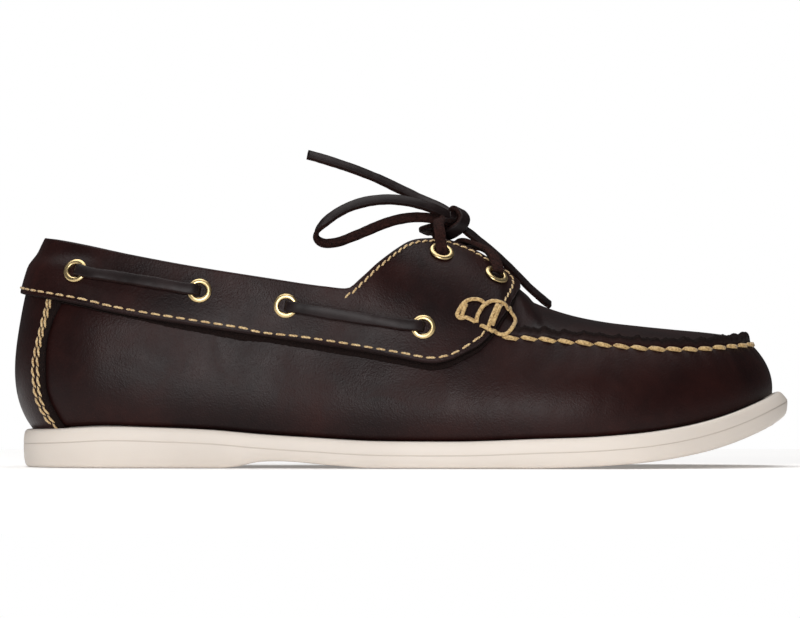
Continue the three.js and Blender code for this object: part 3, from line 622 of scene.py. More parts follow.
lining = liningLeather("calf_lining", "#5c3a29", "#43281d")
sock = liningLeather("calf_sock", "#6d4936", "#523425")

# moulded rubber, off white: even and satin, with painted shade: darker in the moulded groove, on
# the underside and where the rim runs in under the upper
rubberLook = {"shade": "#cfc5bb", "light": "#d9cfc5", "hollow": "#b9aca1", "rough": 0.5,
              "cloudSize": 0.06, "fineSize": 0.0012, "fineDeep": 0.00005}


def mouldedRubber(look):
    material, tree, shader, where = newMaterial("moulded_rubber", Roughness=look["rough"],
                                                Subsurface_Weight=0.08, Subsurface_Scale=0.004)
    shader.inputs["Subsurface Radius"].default_value = (1, 0.8, 0.6)
    cloud = noise(tree, where, 1 / look["cloudSize"], 3, 0.5)
    base = mottled(tree, cloud, 0.35, 0.65, look["shade"], look["light"])
    # painted shade: the groove attribute darkens the rubber in the groove, on the underside and
    # under the upper
    base = blendColour(tree, valueOf(tree, "groove"), base, colour(look["hollow"]))
    fine = noise(tree, where, 1 / look["fineSize"], 3, 0.5)
    feed(tree, shader, Base_Color=base, Normal=bump(tree, fine, look["fineDeep"], 0.4))
    return material


rubber = mouldedRubber(rubberLook)

# lacquered brass, pressed: warm and bright, with a soft unevenness in its shine
brassLook = {"colour": "#cdb585", "smearSize": 0.002, "smearDeep": 0.00005, "bright": 0.28,
             "dull": 0.42}


def pressedBrass(look):
    material, tree, shader, where = newMaterial("pressed_brass", Metallic=1.0)
    shader.inputs["Base Color"].default_value = colour(look["colour"])
    smear = noise(tree, where, 1 / look["smearSize"], 3, 0.6)
    feed(tree, shader, Roughness=spread(tree, smear, 0.3, 0.7, look["bright"], look["dull"]),
         Normal=bump(tree, smear, look["smearDeep"], 0.3))
    return material


brass = pressedBrass(brassLook)


# waxed twisted thread: dull straw strands, with painted shade in the hollows between plies, where
# the same noise sinks the bump
def waxedThread(name, light, dark, ply):
    material, tree, shader, where = newMaterial(name, Roughness=0.62, Sheen_Weight=0.2)
    strand = noise(tree, where, 1 / ply, 3, 0.6)
    # painted shade: the colour darkens where the strand noise sinks the bump
    feed(tree, shader, Base_Color=mottled(tree, strand, 0.36, 0.6, dark, light),
         Normal=bump(tree, strand, 0.0002, 0.5))
    return material


thread = waxedThread("waxed_thread", "#d8bd8c", "#a07a4a", 0.0006)
heavyThread = waxedThread("heavy_waxed_thread", "#c8a870", "#8b6a3c", 0.0008)

# rawhide lace: a smooth oiled grain side, and a flesh side and cut edges of red-brown fibre
rawhideLook = {"grain": ("#160f0f", "#241b1b"), "flesh": ("#170b09", "#3c211c"),
               "specular": 0.14, "grainDull": 0.42, "fleshDull": 0.92, "cloudSize": 0.012,
               "fibreSize": 0.0011, "fuzz": 0.0012, "fineSize": 0.0006, "fineDeep": 0.00005}


def rawhideLace(look):
    material, tree, shader, where = newMaterial("rawhide_lace",
                                                Specular_IOR_Level=look["specular"])
    flesh = valueOf(tree, "flesh")
    cloud = noise(tree, where, 1 / look["cloudSize"], 3, 0.6)
    fibre = noise(tree, where, 1 / look["fibreSize"], 4, 0.75)
    face = mottled(tree, cloud, 0.35, 0.65, *look["grain"])
    fleshColour = mottled(tree, fibre, 0.35, 0.68, *look["flesh"])
    gloss = addNode(tree, "ShaderNodeMix", {2: look["grainDull"], 3: look["fleshDull"]},
                    {0: flesh}).outputs[0]
    fine = bump(tree, noise(tree, where, 1 / look["fineSize"], 2), look["fineDeep"], 0.4)
    fuzz = sums(tree, "MULTIPLY", fibre, flesh)
    feed(tree, shader, Base_Color=blendColour(tree, flesh, face, fleshColour), Roughness=gloss,
         Normal=bump(tree, fuzz, look["fuzz"], 1.0, fine))
    return material


lace = rawhideLace(rawhideLook)
print("materials made")

# floor and light
stageSetup = {"left": -2.2, "right": 2.2, "front": -0.95, "back": 0.4, "under": 0.0002,
              "colour": "#fdfcfb", "glow": 0.14}
floorMesh = bpy.data.meshes.new("floor")
floorMesh.from_pydata([(stageSetup[x], stageSetup[y], -stageSetup["under"]) for x, y in (
    ("left", "front"), ("right", "front"), ("right", "back"), ("left", "back"))],
    [], [(0, 1, 2, 3)])
floorMaterial, _, floorShader, _ = newMaterial("studio_paper", Roughness=0.9,
                                               Emission_Color=(1, 1, 1, 1),
                                               Emission_Strength=stageSetup["glow"])
floorShader.inputs["Base Color"].default_value = colour(stageSetup["colour"])
floorMesh.materials.append(floorMaterial)
floor = bpy.data.objects.new("floor", floorMesh)
scene.collection.objects.link(floor)

# the room is white to the camera and dim to everything else, so the leather stays deep
roomLight = {"seen": 1.0, "cast": 0.08}
world = bpy.data.worlds.new("studio")
scene.world = world
world.use_nodes = True
room = world.node_tree
seenDirectly = addNode(room, "ShaderNodeLightPath").outputs["Is Camera Ray"]
room.links.new(spread(room, seenDirectly, 0, 1, roomLight["cast"], roomLight["seen"]),
               room.nodes["Background"].inputs["Strength"])
room.nodes["Background"].inputs["Color"].default_value = (1, 1, 1, 1)

softBoxes = [  # name, place, aim, width, height, watts
    ("key", (-0.12, -1.05, 0.27), (0.02, 0, 0.04), 0.2, 0.3, 6.2),
    ("top", (-0.3, 0.1, 2.4), (0, -0.1, 0), 2.6, 2.4, 62),
]
for name, place, aim, width, height, watts in softBoxes:
    light = bpy.data.lights.new(name, "AREA")
    light.shape = "RECTANGLE"
    light.size, light.size_y, light.energy = width, height, watts
    box = bpy.data.objects.new(name, light)
    scene.collection.objects.link(box)
    box.location = place
    box.rotation_euler = (Vector(aim) - Vector(place)).to_track_quat("-Z", "Y").to_euler()
scene.view_settings.view_transform = "Standard"

# lace
laceLook = {"width": 4.3, "thickness": 1.8, "step": 0.7, "waver": 0.05, "thickWaver": 0.06,
            "ragged": 0.12}
laceProfile = [  # across, up, flesh share: the grain side is up
    (-0.38, 0.5, 0), (0, 0.5, 0), (0.38, 0.5, 0), (0.47, 0.4, 0.3), (0.5, 0.1, 1),
    (0.49, -0.35, 1), (0.4, -0.5, 1), (0, -0.5, 1), (-0.4, -0.5, 1), (-0.49, -0.35, 1),
    (-0.5, 0.1, 1), (-0.47, 0.4, 0.3),
]


# rows of x, y, z and the way the grain side looks: x, y, z
def makeStrap(name, rows, width=None, seed=0.0, taper=None):
    width = width or laceLook["width"]
    line = spacedLine(rows, laceLook["step"])
    middle, face = line[:, :3], unit(line[:, 3:6])
    ahead = unit(np.gradient(middle, axis=0))
    across = unit(np.cross(face, ahead))
    up = np.cross(ahead, across)
    run = np.arange(len(line)) * laceLook["step"]
    wide = width * (1 + laceLook["waver"] * wobble(run / 5.1 + seed, run / 2.3 + seed))
    if taper is not None:
        wide = wide * np.interp(run / run[-1], taper[0], taper[1])
    thick = laceLook["thickness"] * (1 + laceLook["thickWaver"] * wobble(run / 3.7 + 2 * seed))
    loops = []
    for side, rise, flesh in laceProfile:
        ragged = wobble(run / 1.3 + 9 * side + seed, run / 0.7 + 5 * rise)
        broad = wide + laceLook["ragged"] * flesh * ragged
        loops.append(middle - across * (side * broad)[:, None] + up * (rise * thick)[:, None])
    flesh = np.tile([row[2] for row in laceProfile], (len(line), 1))
    return loopPiece(name, loops, [lace], flesh=flesh), middle


def withFaces(points, places, faces):  # gives each point of a route the grain side's way
    share = np.linspace(0, 1, len(points))
    faces = np.array(faces, float)
    looks = np.stack([np.interp(share, places, faces[:, i]) for i in range(3)], 1)
    return np.hstack([np.array(points, float), looks])


# free lace: the two ends leave the rear tab eyelets, meet in the knot and go on
outerEnd = [
    (162.4, -22.8, 88.4), (162.2, -23.1, 90.2), (161.9, -22.4, 92.2), (161.7, -20.2, 94),
    (161.9, -16.8, 95.2), (162.6, -12.8, 95.8), (163.8, -8.8, 96), (165.4, -4, 96),
    (166.6, 0, 97), (165.2, 2.6, 99.2), (161.2, 4.4, 101.6), (155.6, 5.4, 103.9),
    (150.4, 5.6, 106.4), (145.4, 5.4, 108.7), (139.4, 4.8, 111.6), (133.4, 4, 114.1),
    (127.8, 3.2, 116.2), (122.4, 2.4, 118), (116.4, 1.6, 119.9), (110.6, 1, 121.5),
]
innerEnd = [
    (162.2, 24.6, 88.4), (160.8, 24.9, 89.9), (158.9, 23.8, 91.2), (157, 21, 92.2),
    (156.2, 17, 92.6), (157, 12.6, 93), (160.2, 8.2, 93.8), (165, 4.2, 94.6),
    (169, 1.4, 94), (171.4, 0.4, 92.6), (173.6, 0.1, 91), (177, 0.2, 88.3),
    (180.6, 0.7, 85.4), (185.5, 2, 81.2), (189.8, 3.9, 77.2), (193.6, 6, 73.4),
    (197.1, 7.6, 69.8), (200.4, 8.7, 66.9), (203.2, 9.8, 64.5), (205.4, 10.8, 62.9),
]
bowRoute = [
    (166, -2, 97.6), (163.4, -3.8, 98.8), (159.2, -5.4, 100.6), (153.4, -6.4, 102.4),
    (147.2, -7, 103.6), (140.9, -7.5, 103.9), (134.4, -8, 103.2), (128.2, -8.4, 101.5),
    (122.8, -8.8, 98.9), (118.2, -9.2, 95.6), (114.7, -9.4, 91.9), (114.2, -9.2, 88.8),
    (117.2, -8.8, 86.9), (122.4, -8.4, 87.3), (128, -8, 89.3), (133.8, -7.6, 91.7),
    (140, -7.2, 94.3), (146.4, -6.8, 96.2), (153, -6.4, 97), (159, -5.6, 96.6),
    (163, -4.2, 95.4),
]
wrapRoute = [  # the turn of lace round the knot, from behind it below, over and down in front
    (164.2, 3.2, 91.6), (166.4, 4.6, 95), (167.4, 4, 98.2), (168.6, 1.4, 100),
    (170.6, -2, 99.2), (171.8, -4.6, 96.6), (170.4, -6.2, 93.6), (167.2, -6, 91.2),
    (164.6, -3.6, 90.2), (164, -0.6, 90.6),
]


# each free end: its route, and which way its grain side looks at shares of its length
freeEnds = {
    "outer": {"route": outerEnd, "seed": 1.3, "shares": [0, 0.12, 0.3, 0.42, 0.6, 1],
              "faces": [(0, 1, 0.1), (0.1, 1, 0.2), (0.1, 0.3, -1), (0, -0.3, 1),
                        (0.2, -0.7, 0.75), (0.3, -0.75, 0.7)]},
    "inner": {"route": innerEnd, "seed": 4.1, "shares": [0, 0.12, 0.3, 0.45, 0.6, 1],
              "faces": [(-0.4, -1, 0.2), (-0.6, -0.8, 0.3), (-0.2, 0.2, 1), (0.3, -0.1, 1),
                        (0.5, -0.55, 0.7), (0.5, -0.5, 0.75)]},
}
bowLook = {"seed": 2.2, "shares": [0, 0.2, 0.44, 0.52, 0.6, 0.8, 1],
           "faces": [(0, -0.8, 0.6), (0, -0.8, 0.6), (-0.4, -0.7, 0.5), (-1, 0.1, -0.1),
                     (-0.2, 0.6, -0.75), (0, 0.75, -0.65), (0, 0.75, -0.65)]}
wrapLook = {"seed": 5.5, "width": 5.2, "centre": (167.6, -0.6, 95.2)}


def makeFreeLace():
    made = {}
    for side, end in freeEnds.items():
        place = tabPlace(tabEyelets[0], side)
        start = [place["middle"] + place["out"] * h for h in (-3.6, -0.6, 2.4)]
        rows = withFaces(start + end["route"], end["shares"], end["faces"])
        made[side] = makeStrap("free_lace_" + side, rows, seed=end["seed"])
    rows = withFaces(bowRoute, bowLook["shares"], bowLook["faces"])
    made["bow"] = makeStrap("lace_bow", rows, seed=bowLook["seed"])
    wrap = [tuple(p) + tuple(unit(np.array(p) - wrapLook["centre"])) for p in wrapRoute]
    made["wrap"] = makeStrap("lace_knot", wrap, width=wrapLook["width"], seed=wrapLook["seed"])
    return made


freeLace = makeFreeLace()
knot = freeLace["wrap"][0]
settle(knot, "lace_leather", "cord_knot")
for key, nodes, farEnd, more in (
    ("outer", ("cord_riser_outer", "cord_end_rear"), "bare", {"with_pieces": [knot]}),
    ("inner", ("cord_riser_inner", "cord_end_front"), "bare", {}),
    ("bow", ("cord_bow",), "object", {}),
):
    piece, middle = freeLace[key]
    settle(piece, "lace_leather", *nodes)
print("free lace made")


# lace held by the shoe: two runs on each side, and the crossing in the throat
runLook = {"width": 4.5, "stand": 2.2, "arch": 0.4, "shares": (0.13, 0.3, 0.5, 0.7, 0.87),
           "dive": 4.5, "mouth": -1.2, "lip": 1.7, "lead": 1.5}


def sideRun(name, first, last, side, sag, seed):
    start, end = sidePlace(*first, side), sidePlace(*last, side)
    along = unit(end["middle"] - start["middle"])
    shares = np.array(runLook["shares"])
    seen = [(first[0] + (last[0] - first[0]) * q,
             first[1] + (last[1] - first[1]) * q - sag * math.sin(math.pi * q)) for q in shares]
    turns, levels = seenPlaces(
        seen, lambda turn, level: bandHeight(turn, level) + runLook["stand"])
    turns = turns if side == "outer" else 2 - turns
    arch = runLook["arch"] * np.sin(math.pi * shares)
    height = bandHeight(turns, levels) + runLook["stand"] + arch
    over = offsetPoint(turns, levels, height)

    def throughEyelet(place, ahead):  # from behind the leather out over the eyelet's lip
        middle, out, stand = place["middle"], place["out"], place["stand"]
        return [
            tuple(middle - out * runLook["dive"]) + tuple(-ahead),
            tuple(middle + out * (stand + runLook["mouth"]) + ahead * 0.1) + tuple(-ahead),
            tuple(middle + out * (stand + runLook["lip"]) + ahead * runLook["lead"])
            + tuple(unit(out - 0.4 * ahead)),
        ]

    rows = throughEyelet(start, along)
    rows += [tuple(point) + tuple(normal) for point, normal in zip(over, faceNormal(turns, levels))]
    rows += throughEyelet(end, -along)[::-1]
    taper = ([0, 0.1, 0.17, 0.83, 0.9, 1], [0.84, 0.9, 1, 1, 0.9, 0.84])
    return makeStrap(name, rows, width=runLook["width"], seed=seed, taper=taper)[0]


for side, seed in (("outer", 0.7), ("inner", 3.1)):
    run = sideRun(f"lace_{side}_back_run", sideEyelets[0], sideEyelets[1], side, -0.3, seed)
    settle(run, "lace_leather", f"lace_{side}_rear")
    run = sideRun(f"lace_{side}_front_run", sideEyelets[2], sideEyelets[3], side, 0.2, seed + 1)
    settle(run, "lace_leather", f"lace_{side}_front")

throatLook = {"crossing": (170.5, 0, 86.8), "edge": 179.5, "overEdge": 3.0,
              "lift": {"outer": 0.7, "inner": -1.1}}


def throatStrand(side, seed):  # out of a front tab eyelet, across and under the other tab
    sign = -1 if side == "outer" else 1
    crossing = np.array(throatLook["crossing"])
    start = tabPlace(tabEyelets[1], side)
    under = tabPlace(tabEyelets[0], "inner" if side == "outer" else "outer")
    edgeTurn = float(turnAtLength(np.array(throatLook["edge"]), lambda t: 2.0))
    edgeTurn = edgeTurn if side == "outer" else 2 - edgeTurn
    edge = offsetPoint(edgeTurn, 2.0, form["bandLeather"] + throatLook["overEdge"])
    lift = throatLook["lift"][side]
    rows = [
        tuple(start["middle"] - start["out"] * 4) + (0.3, -sign * 0.9, 0),
        tuple(start["middle"] + start["out"] * 0.8) + (0.3, -sign * 0.9, 0.1),
        tuple(start["middle"] + start["out"] * (start["stand"] + 2.2)
              + np.array([-0.3, -sign * 1.4, 0.6])) + (0.3, sign * 0.4, 0.9),
        tuple(edge) + (0.4, sign * 0.3, 0.9),
        tuple(crossing + np.array([2.6, sign * 4.2, lift])) + (0.4, 0, 0.9),
        tuple(crossing + np.array([-1.6, -sign * 2.8, lift - 1.6])) + (0.3, -sign * 0.3, 0.9),
        (166.2, -sign * 8.5, 81.6, 0.2, -sign * 0.5, 0.9),
        (164.3, -sign * 13.5, 79.5, 0.1, -sign * 0.5, 0.9),
        tuple(under["middle"] - under["out"] * 5.6) + (0, -sign * 0.7, 0.7),
    ]
    if side == "outer":  # this one lies flesh side up
        rows = [row[:3] + tuple(-v for v in row[3:]) for row in rows]
    return makeStrap(f"lace_throat_{side}", rows, seed=seed)[0]


settle(throatStrand("outer", 6.2), "lace_leather", "lace_throat")
settle(throatStrand("inner", 7.7), "lace_leather")
print("held lace made")

# sole
soleLook = {"groove": 5.5, "grooveDepth": 0.2, "grooveWidth": 0.45, "spacing": 1.1,
            "toeSlope": 2.6, "toeFrom": 268, "slopeEnds": 5.2}


def makeSole():
    turns = evenTurns(0, 2, soleLook["spacing"], 0.0)[:-1]
    groove, depth, wide = (soleLook[k] for k in ("groove", "grooveDepth", "grooveWidth"))
    rows = [  # share of the wall below the groove or None, drop from the rim, inset, share of painted shade
        (0.075, None, 7.5, 1), (0.075, None, 3.0, 1), (0.0, None, 2.8, 0.3), (0.0, None, 1.9, 0),
        (0.05, None, 1.1, 0),
        (0.16, None, 0.55, 0), (0.4, None, 0.2, 0), (0.75, None, 0.02, 0),
        (1.0, None, 0.0, 0), (None, groove + wide * 0.5, 0.02, 0.2),
        (None, groove, depth, 1), (None, groove - wide * 0.5, 0.02, 0.2),
        (None, groove - wide, 0.0, 0), (None, 3.4, 0.08, 0), (None, 2.0, 0.25, 0),
        (None, 1.1, 0.45, 0), (None, 0.5, 0.8, 0), (None, 0.12, 1.3, 0), (None, 0.0, 1.9, 0),
        (None, 0.05, 2.6, 0), (None, 0.7, 3.2, 0.1), (None, 0.75, 9.0, 0.2),
    ]
    columns, shadeMarks = [], []
    for share, drop, inset, mark in rows:
        fall = groove if drop is None else drop
        nearToe = ramp(lengthAt(turns), soleLook["toeFrom"], form["soleLength"])
        nearToe = nearToe * max(0.0, 1 - fall / soleLook["slopeEnds"])
        point = outlinePoint(turns, inset + soleLook["toeSlope"] * nearToe)
        low, high = treadZ(point[:, 0]), rimZ(point[:, 0])
        if drop is None:
            point[:, 2] = low + (high - groove - wide - low) * share
        else:
            point[:, 2] = high - drop
        columns.append(point)
        # painted shade marks: the groove, the underside and the rim under the upper
        shadeMarks.append(np.full(len(turns), float(mark)))
    return ringPiece("moulded_sole", columns, [rubber], groove=np.stack(shadeMarks, 1))


settle(makeSole(), "sole_rubber", "outsole")

sockRows = [(0, 0), (0.05, 0), (1.2, 0.1), (2.6, 0.35), (3, 1), (3.2, 5), (3.3, 12)]  # rise, inset


def makeSock():
    turns = evenTurns(0, 2, 2.0, 0.0)[:-1]
    bare = wall["rim"](turns) + form["leather"] + 0.25
    columns = []
    for rise, inset in sockRows:
        point = outlinePoint(turns, bare + inset)
        point[:, 2] = rimZ(point[:, 0]) + form["gap"] + rise
        columns.append(point)
    return ringPiece("sock", columns, [sock])


settle(makeSock(), "insole_leather", "insole")
print("sole and sock made")

# upper
upperLook = {"stitchPitch": 7.2, "lipBump": 0.12, "lipRagged": 0.26, "gather": 0.26,
             "gatherFade": 0.16, "toeFrom": 245, "toeFull": 285, "seamLevel": 1.015,
             "seamWidth": 0.022, "seamDip": 0.45}
seamFine = np.linspace(0, 2, 4001)
seamLengths = runAlong(facePoint(seamFine, 1.0, 0))
seamLengths -= np.interp(1.0, seamFine, seamLengths)


def seamLength(turn):  # along the seam from the middle of the toe
    return np.interp(turn % 2, seamFine, seamLengths)


creases = [  # x, z, half length, half width, depth, slant: soft troughs seen from the side
    (199, 34, 17, 4.0, 0.16, 62), (209, 32, 14, 3.4, 0.12, 70), (150, 33, 24, 5.0, 0.14, 22),
    (36, 36, 15, 4.5, 0.12, 80), (226, 31, 12, 3.0, 0.1, 76), (176, 34, 16, 3.6, 0.12, 50),
]


def creaseHeight(point):
    total = 0
    for x, z, long, wide, depth, slant in creases:
        angle = math.radians(slant)
        dx, dz = point[..., 0] - x, point[..., 2] - z
        along = dx * math.cos(angle) + dz * math.sin(angle)
        across = -dx * math.sin(angle) + dz * math.cos(angle) + 0.02 * along**2 / 2
        fade = np.exp(-((along / long) ** 2))
        total = total - depth * fade * np.exp(-((across / wide) ** 2))
        total = total + 0.55 * depth * fade * np.exp(-(((across - 1.9 * wide) / wide) ** 2))
    return total


def upperSurface(turn, level):
    run = seamLength(turn)
    onPlug = ramp(lengthAt(turn), form["plugFrom"], form["plugFull"])
    phase = 2 * math.pi * run / upperLook["stitchPitch"]
    ragged = upperLook["lipRagged"] * wobble(run / 1.5, run / 0.6, run / 3.1)
    point = facePoint(turn, level, 1 + (upperLook["lipBump"] * np.cos(phase) + ragged))
    normal = faceNormal(turn, level)
    toe = 0.35 + 0.65 * ramp(lengthAt(turn), upperLook["toeFrom"], upperLook["toeFull"])
    below = np.exp(-np.maximum(1 - level, 0) / upperLook["gatherFade"]) * (level <= 1.0)
    pleat = np.abs(np.sin(phase / 2 + math.pi / 2 + 0.25 * wobble(run / 6)))
    height = -upperLook["gather"] * toe * onPlug * below * (1 - pleat) * 1.6
    fine = 0.05 * np.sin(run * 3.9 + 4 * (1 - level)) + 0.03 * np.sin(run * 6.7)
    height = height + toe * onPlug * below * fine
    height = height + creaseHeight(point) * (level < 1.0)
    seam = np.exp(-(((level - upperLook["seamLevel"]) / upperLook["seamWidth"]) ** 2))
    height = height - upperLook["seamDip"] * seam * onPlug
    return point + normal * height[..., None]


def makeUpper():
    toeTurn = float(turnAt(185))
    half = np.concatenate([evenTurns(0, toeTurn, 1.7)[:-1], evenTurns(toeTurn, 1, 0.62)[:-1]])
    turns = np.concatenate([half, [1.0], (2 - half[1:])[::-1]])
    outerLevels = np.concatenate([
        np.linspace(0, 0.62, 13), np.linspace(0.66, 0.98, 14), np.linspace(1.0, 1.3, 16),
        np.linspace(1.34, 1.6, 8), np.linspace(1.65, 1.985, 9), [2.0]])
    innerLevels = np.concatenate([[2.0, 1.985], np.linspace(1.9, 1.0, 12),
                                  np.linspace(0.86, 0, 8)])
    grid = turns[:, None]
    outer = upperSurface(grid, outerLevels[None, :])
    inner = offsetPoint(grid, innerLevels[None, :], -form["leather"])
    points = np.concatenate([outer, inner], 1)
    count, rowCount = points.shape[:2]
    outerCount = len(outerLevels)
    faces = gridFaces(count, rowCount, closeAlong=True, closeAcross=True)
    columnOf = faces[:, 0] % rowCount
    onSpine = isSpine(turns)
    both = onSpine & np.roll(onSpine, -1)
    isTop = columnOf == outerCount - 1
    keep = ~(isTop & both[faces[:, 0] // rowCount])
    faces, columnOf = faces[keep], columnOf[keep]
    inside = (columnOf >= outerCount).astype(int)
    onPlug = ramp(lengthAt(turns), form["plugFrom"], form["plugFull"])[:, None]
    raw = np.zeros((count, rowCount))
    lipZone = ramp(outerLevels, 1.02, 1.06) * (1 - ramp(outerLevels, 1.22, 1.3))
    raw[:, :outerCount] = onPlug * lipZone[None, :]
    raw[~onSpine, outerCount - 1] = 1
    raw[~onSpine, outerCount] = 1
    return makePiece("moccasin_upper", points, faces, [vampLeather, lining], inside, merge=True,
                     raw=raw)


settle(makeUpper(), "vamp_leather", "upper")
print("upper made")


# band, counter and tongue: sheets with rounded edges
edgeSteps = [(0.0, 0.5), (0.1, 0.8), (0.38, 0.95), (1.0, 1.0)]  # share in from the edge, height


def sheetRows(inside):  # share from the low edge, edge share, height share: once round a section
    low = [(0, step, height) for step, height in edgeSteps]
    high = [(1, -step, height) for step, height in edgeSteps[::-1]]
    middle = [(q, 0, 1.0) for q in inside]
    outer = low + middle + high
    back = [(q, step, 1 - height) for q, step, height in outer[1:-1]]
    return outer + back[::-1]


bandTip = float(turnAtLength(np.array(192.4), bandLevel))
bandLook = {"roll": 0.6, "hem": 5.0, "hemStand": 0.65, "hemThick": 0.5, "edge": 0.9,
            "uneven": 0.05}


def makeBand():
    front = float(turnAt(178))
    half = np.concatenate([evenTurns(0, front, 1.8, 1.6)[:-1],
                           evenTurns(front, bandTip, 0.5, 1.9)])
    turns = np.concatenate([-half[:0:-1], half])
    low = bandLevel(turns % 2)
    length = levelLength(turns, (low + 2) / 2)
    edge = np.minimum(bandLook["edge"], 0.3 * (2 - low) * length) / length
    columns = []

    def add(level, height):
        columns.append(offsetPoint(turns, level, height))

    uneven = bandLook["uneven"] * wobble(np.arange(len(turns)) * 0.45, np.arange(len(turns)) * 1.3)
    thick = form["bandLeather"]
    for step, share in edgeSteps:
        level = low + step * edge + uneven / length
        add(level, bandOffset(turns, level) + thick * share)
    for q in np.linspace(0, 1, 15)[1:]:
        start = low + edge
        level = start + (1.985 - start) * q
        add(level, bandOffset(turns, level) + thick)
    top = facePoint(turns, 2.0, 0)
    up = unit(top - facePoint(turns, 1.97, 0))
    out = faceNormal(turns, 2.0)
    stand = bandOffset(turns, 2.0)
    outerEdge = stand + thick
    innerEdge = np.full_like(turns, -form["leather"] - bandLook["hemStand"])
    middle, half = (outerEdge + innerEdge) / 2, (outerEdge - innerEdge) / 2
    for angle in np.radians([10, 35, 65, 90, 115, 145, 170]):
        columns.append(top + out * (middle + half * math.cos(angle))[:, None]
                       + up * bandLook["roll"] * math.sin(angle))
    sectionLength = levelLength(turns, 1.9)
    hem = bandLook["hem"] / sectionLength
    for share in (0.15, 0.5, 0.85, 1.0):
        add(2 - hem * share, innerEdge + (0.12 if share == 1 else 0))
    for share in (1.03, 0.85, 0.1):
        add(2 - hem * share, innerEdge + bandLook["hemThick"])
    columns.append(top + out * (innerEdge + 0.75)[:, None] + up * 0.12)
    columns.append(top + out * (stand - 0.1)[:, None] + up * 0.12)
    for q in (0.9, 0.5, 0.1):
        level = low + edge + (1.985 - low - edge) * q
        add(level, bandOffset(turns, level))
    for step, share in edgeSteps[:0:-1]:
        level = low + step * edge
        add(level, bandOffset(turns, level) + thick * (1 - share))
    raw = np.zeros((len(turns), len(columns)))
    raw[:, :2] = 1
    raw[:, 2] = 0.4
    return loopPiece("collar_band", columns, [bandLeather], raw=raw)


settle(makeBand(), "band_leather", "collar_band")

underlayLook = {"spacing": 0.8, "least": 0.3, "shown": 1.8, "growsFrom": 30, "grown": 78,
                "fine": 0.14, "long": 0.2, "under": 3.0, "nap": 0.09, "thin": 0.34, "step": 0.75}


def makeUnderlay(side):  # the dark, fuzzy edge of the layer under the band
    look = underlayLook
    end = float(turnAtLength(np.array(191.0), bandLevel))
    turns = evenTurns(float(turnAt(14)), end, look["spacing"], 1.5)
    if side == "inner":
        turns = 2 - turns[::-1]
    run = np.arange(len(turns)) * look["spacing"]
    bandLow = bandLevel(turns)
    length = levelLength(turns, bandLow)
    ragged = look["fine"] * wobble(run / 1.1, run / 0.45) + look["long"] * wobble(run / 17)
    grown = ramp(lengthAt(turns), look["growsFrom"], look["grown"])
    low = bandLow - (look["least"] + look["shown"] * grown + ragged) / length
    high = np.minimum(bandLow + look["under"] / length, 1.98)
    columns = []
    for q, step, share in sheetRows((0.15, 0.3, 0.5, 0.7)):
        level = low + (high - low) * (q + step * 0.1)
        thick = look["thin"] + look["step"] * ramp(bandLow - level, 0, 0.3 / length)
        height = bandOffset(turns, level, 0.0) + 0.06 + thick * share
        nap = wobble(run / 0.7 + 5 * q, run / 0.5 + 3 * share)
        height = height + look["nap"] * nap * (q < 0.3)
        columns.append(offsetPoint(turns, level, height))
    return loopPiece(f"band_underlay_{side}", columns, [bandLeather],
                     raw=np.ones((len(turns), len(columns))))


for side in ("outer", "inner"):
    settle(makeUnderlay(side), "band_leather")

counterTop = float(levelAtHeight(0.0, 73.5))
counterX = column(counterEdge, 1)


def counterTurn(level):  # the front edge of the counter
    turn = turnAt(12.0) * np.ones(np.shape(level))
    for _ in range(10):
        z = facePoint(turn, level, 0)[..., 2]
        turn = bisect(np.zeros_like(turn), np.zeros_like(turn) + 0.5,
                      lambda t: facePoint(t, level, 0)[..., 0] < counterX(z))
    return turn


counterLook = {"bevel": 0.9, "rawShare": 0.05}


def makeCounter():
    levels = np.linspace(0.015, counterTop, 60)
    edgeTurn = counterTurn(levels)
    perTurn = np.linalg.norm(facePoint(edgeTurn + 0.005, levels, 0)
                             - facePoint(edgeTurn - 0.005, levels, 0), axis=1) / 0.01
    columns = []
    inside = np.concatenate([[0.02], np.linspace(0.035, 0.965, 34), [0.98]])
    for q, step, share in sheetRows(inside):
        turn = edgeTurn * (2 * q - 1) + step * counterLook["bevel"] / perTurn
        height = form["gap"] * 0.4 + (form["counterLeather"] + form["gap"] * 0.6) * share
        columns.append(offsetPoint(turn, levels, height))
    mark = [float(q < counterLook["rawShare"] or q > 1 - counterLook["rawShare"])
            for q, step, share in sheetRows(inside)]
    return loopPiece("heel_counter", columns[::-1], [vampLeather],
                     raw=np.tile(mark[::-1], (len(levels), 1)))


settle(makeCounter(), "vamp_leather", "heel_counter")

tongueZ, tongueHalf = column(tongueRows, 1), column(tongueRows, 2)
tongueLook = {"narrowing": 0.14, "bevel": 1.2, "curl": 0.0085, "uneven": 0.22}


def makeTongue():
    sections = sheetRows(np.linspace(0.03, 0.97, 18))
    lengths = np.concatenate([[149.0, 149.12, 149.4], np.linspace(150, 203.4, 48), [204.0]])
    ends = np.concatenate([[0.2, 0.65, 0.92], np.ones(48), [0.6]])
    columns = []
    narrowing = 1 - tongueLook["narrowing"] * (1 - ramp(lengths, 149, 154))
    for q, step, share in sections:
        across = (2 * q - 1) * tongueHalf(lengths) + step * tongueLook["bevel"]
        across = across * narrowing
        z = tongueZ(lengths) - tongueLook["curl"] * across**2
        z = z + tongueLook["uneven"] * wobble(lengths / 7, across / 6)
        z = z - form["tongueLeather"] / 2
        z = z + form["tongueLeather"] * (share - 0.5) * ends
        columns.append(stack(lengths, across + middleY(lengths), z))
    mark = [float(abs(step) < 0.2 and q in (0, 1)) for q, step, share in sections]
    return loopPiece("tongue", columns, [vampLeather], raw=np.tile(mark, (len(lengths), 1)))


settle(makeTongue(), "tongue_leather", "tongue")
print("band, counter and tongue made")

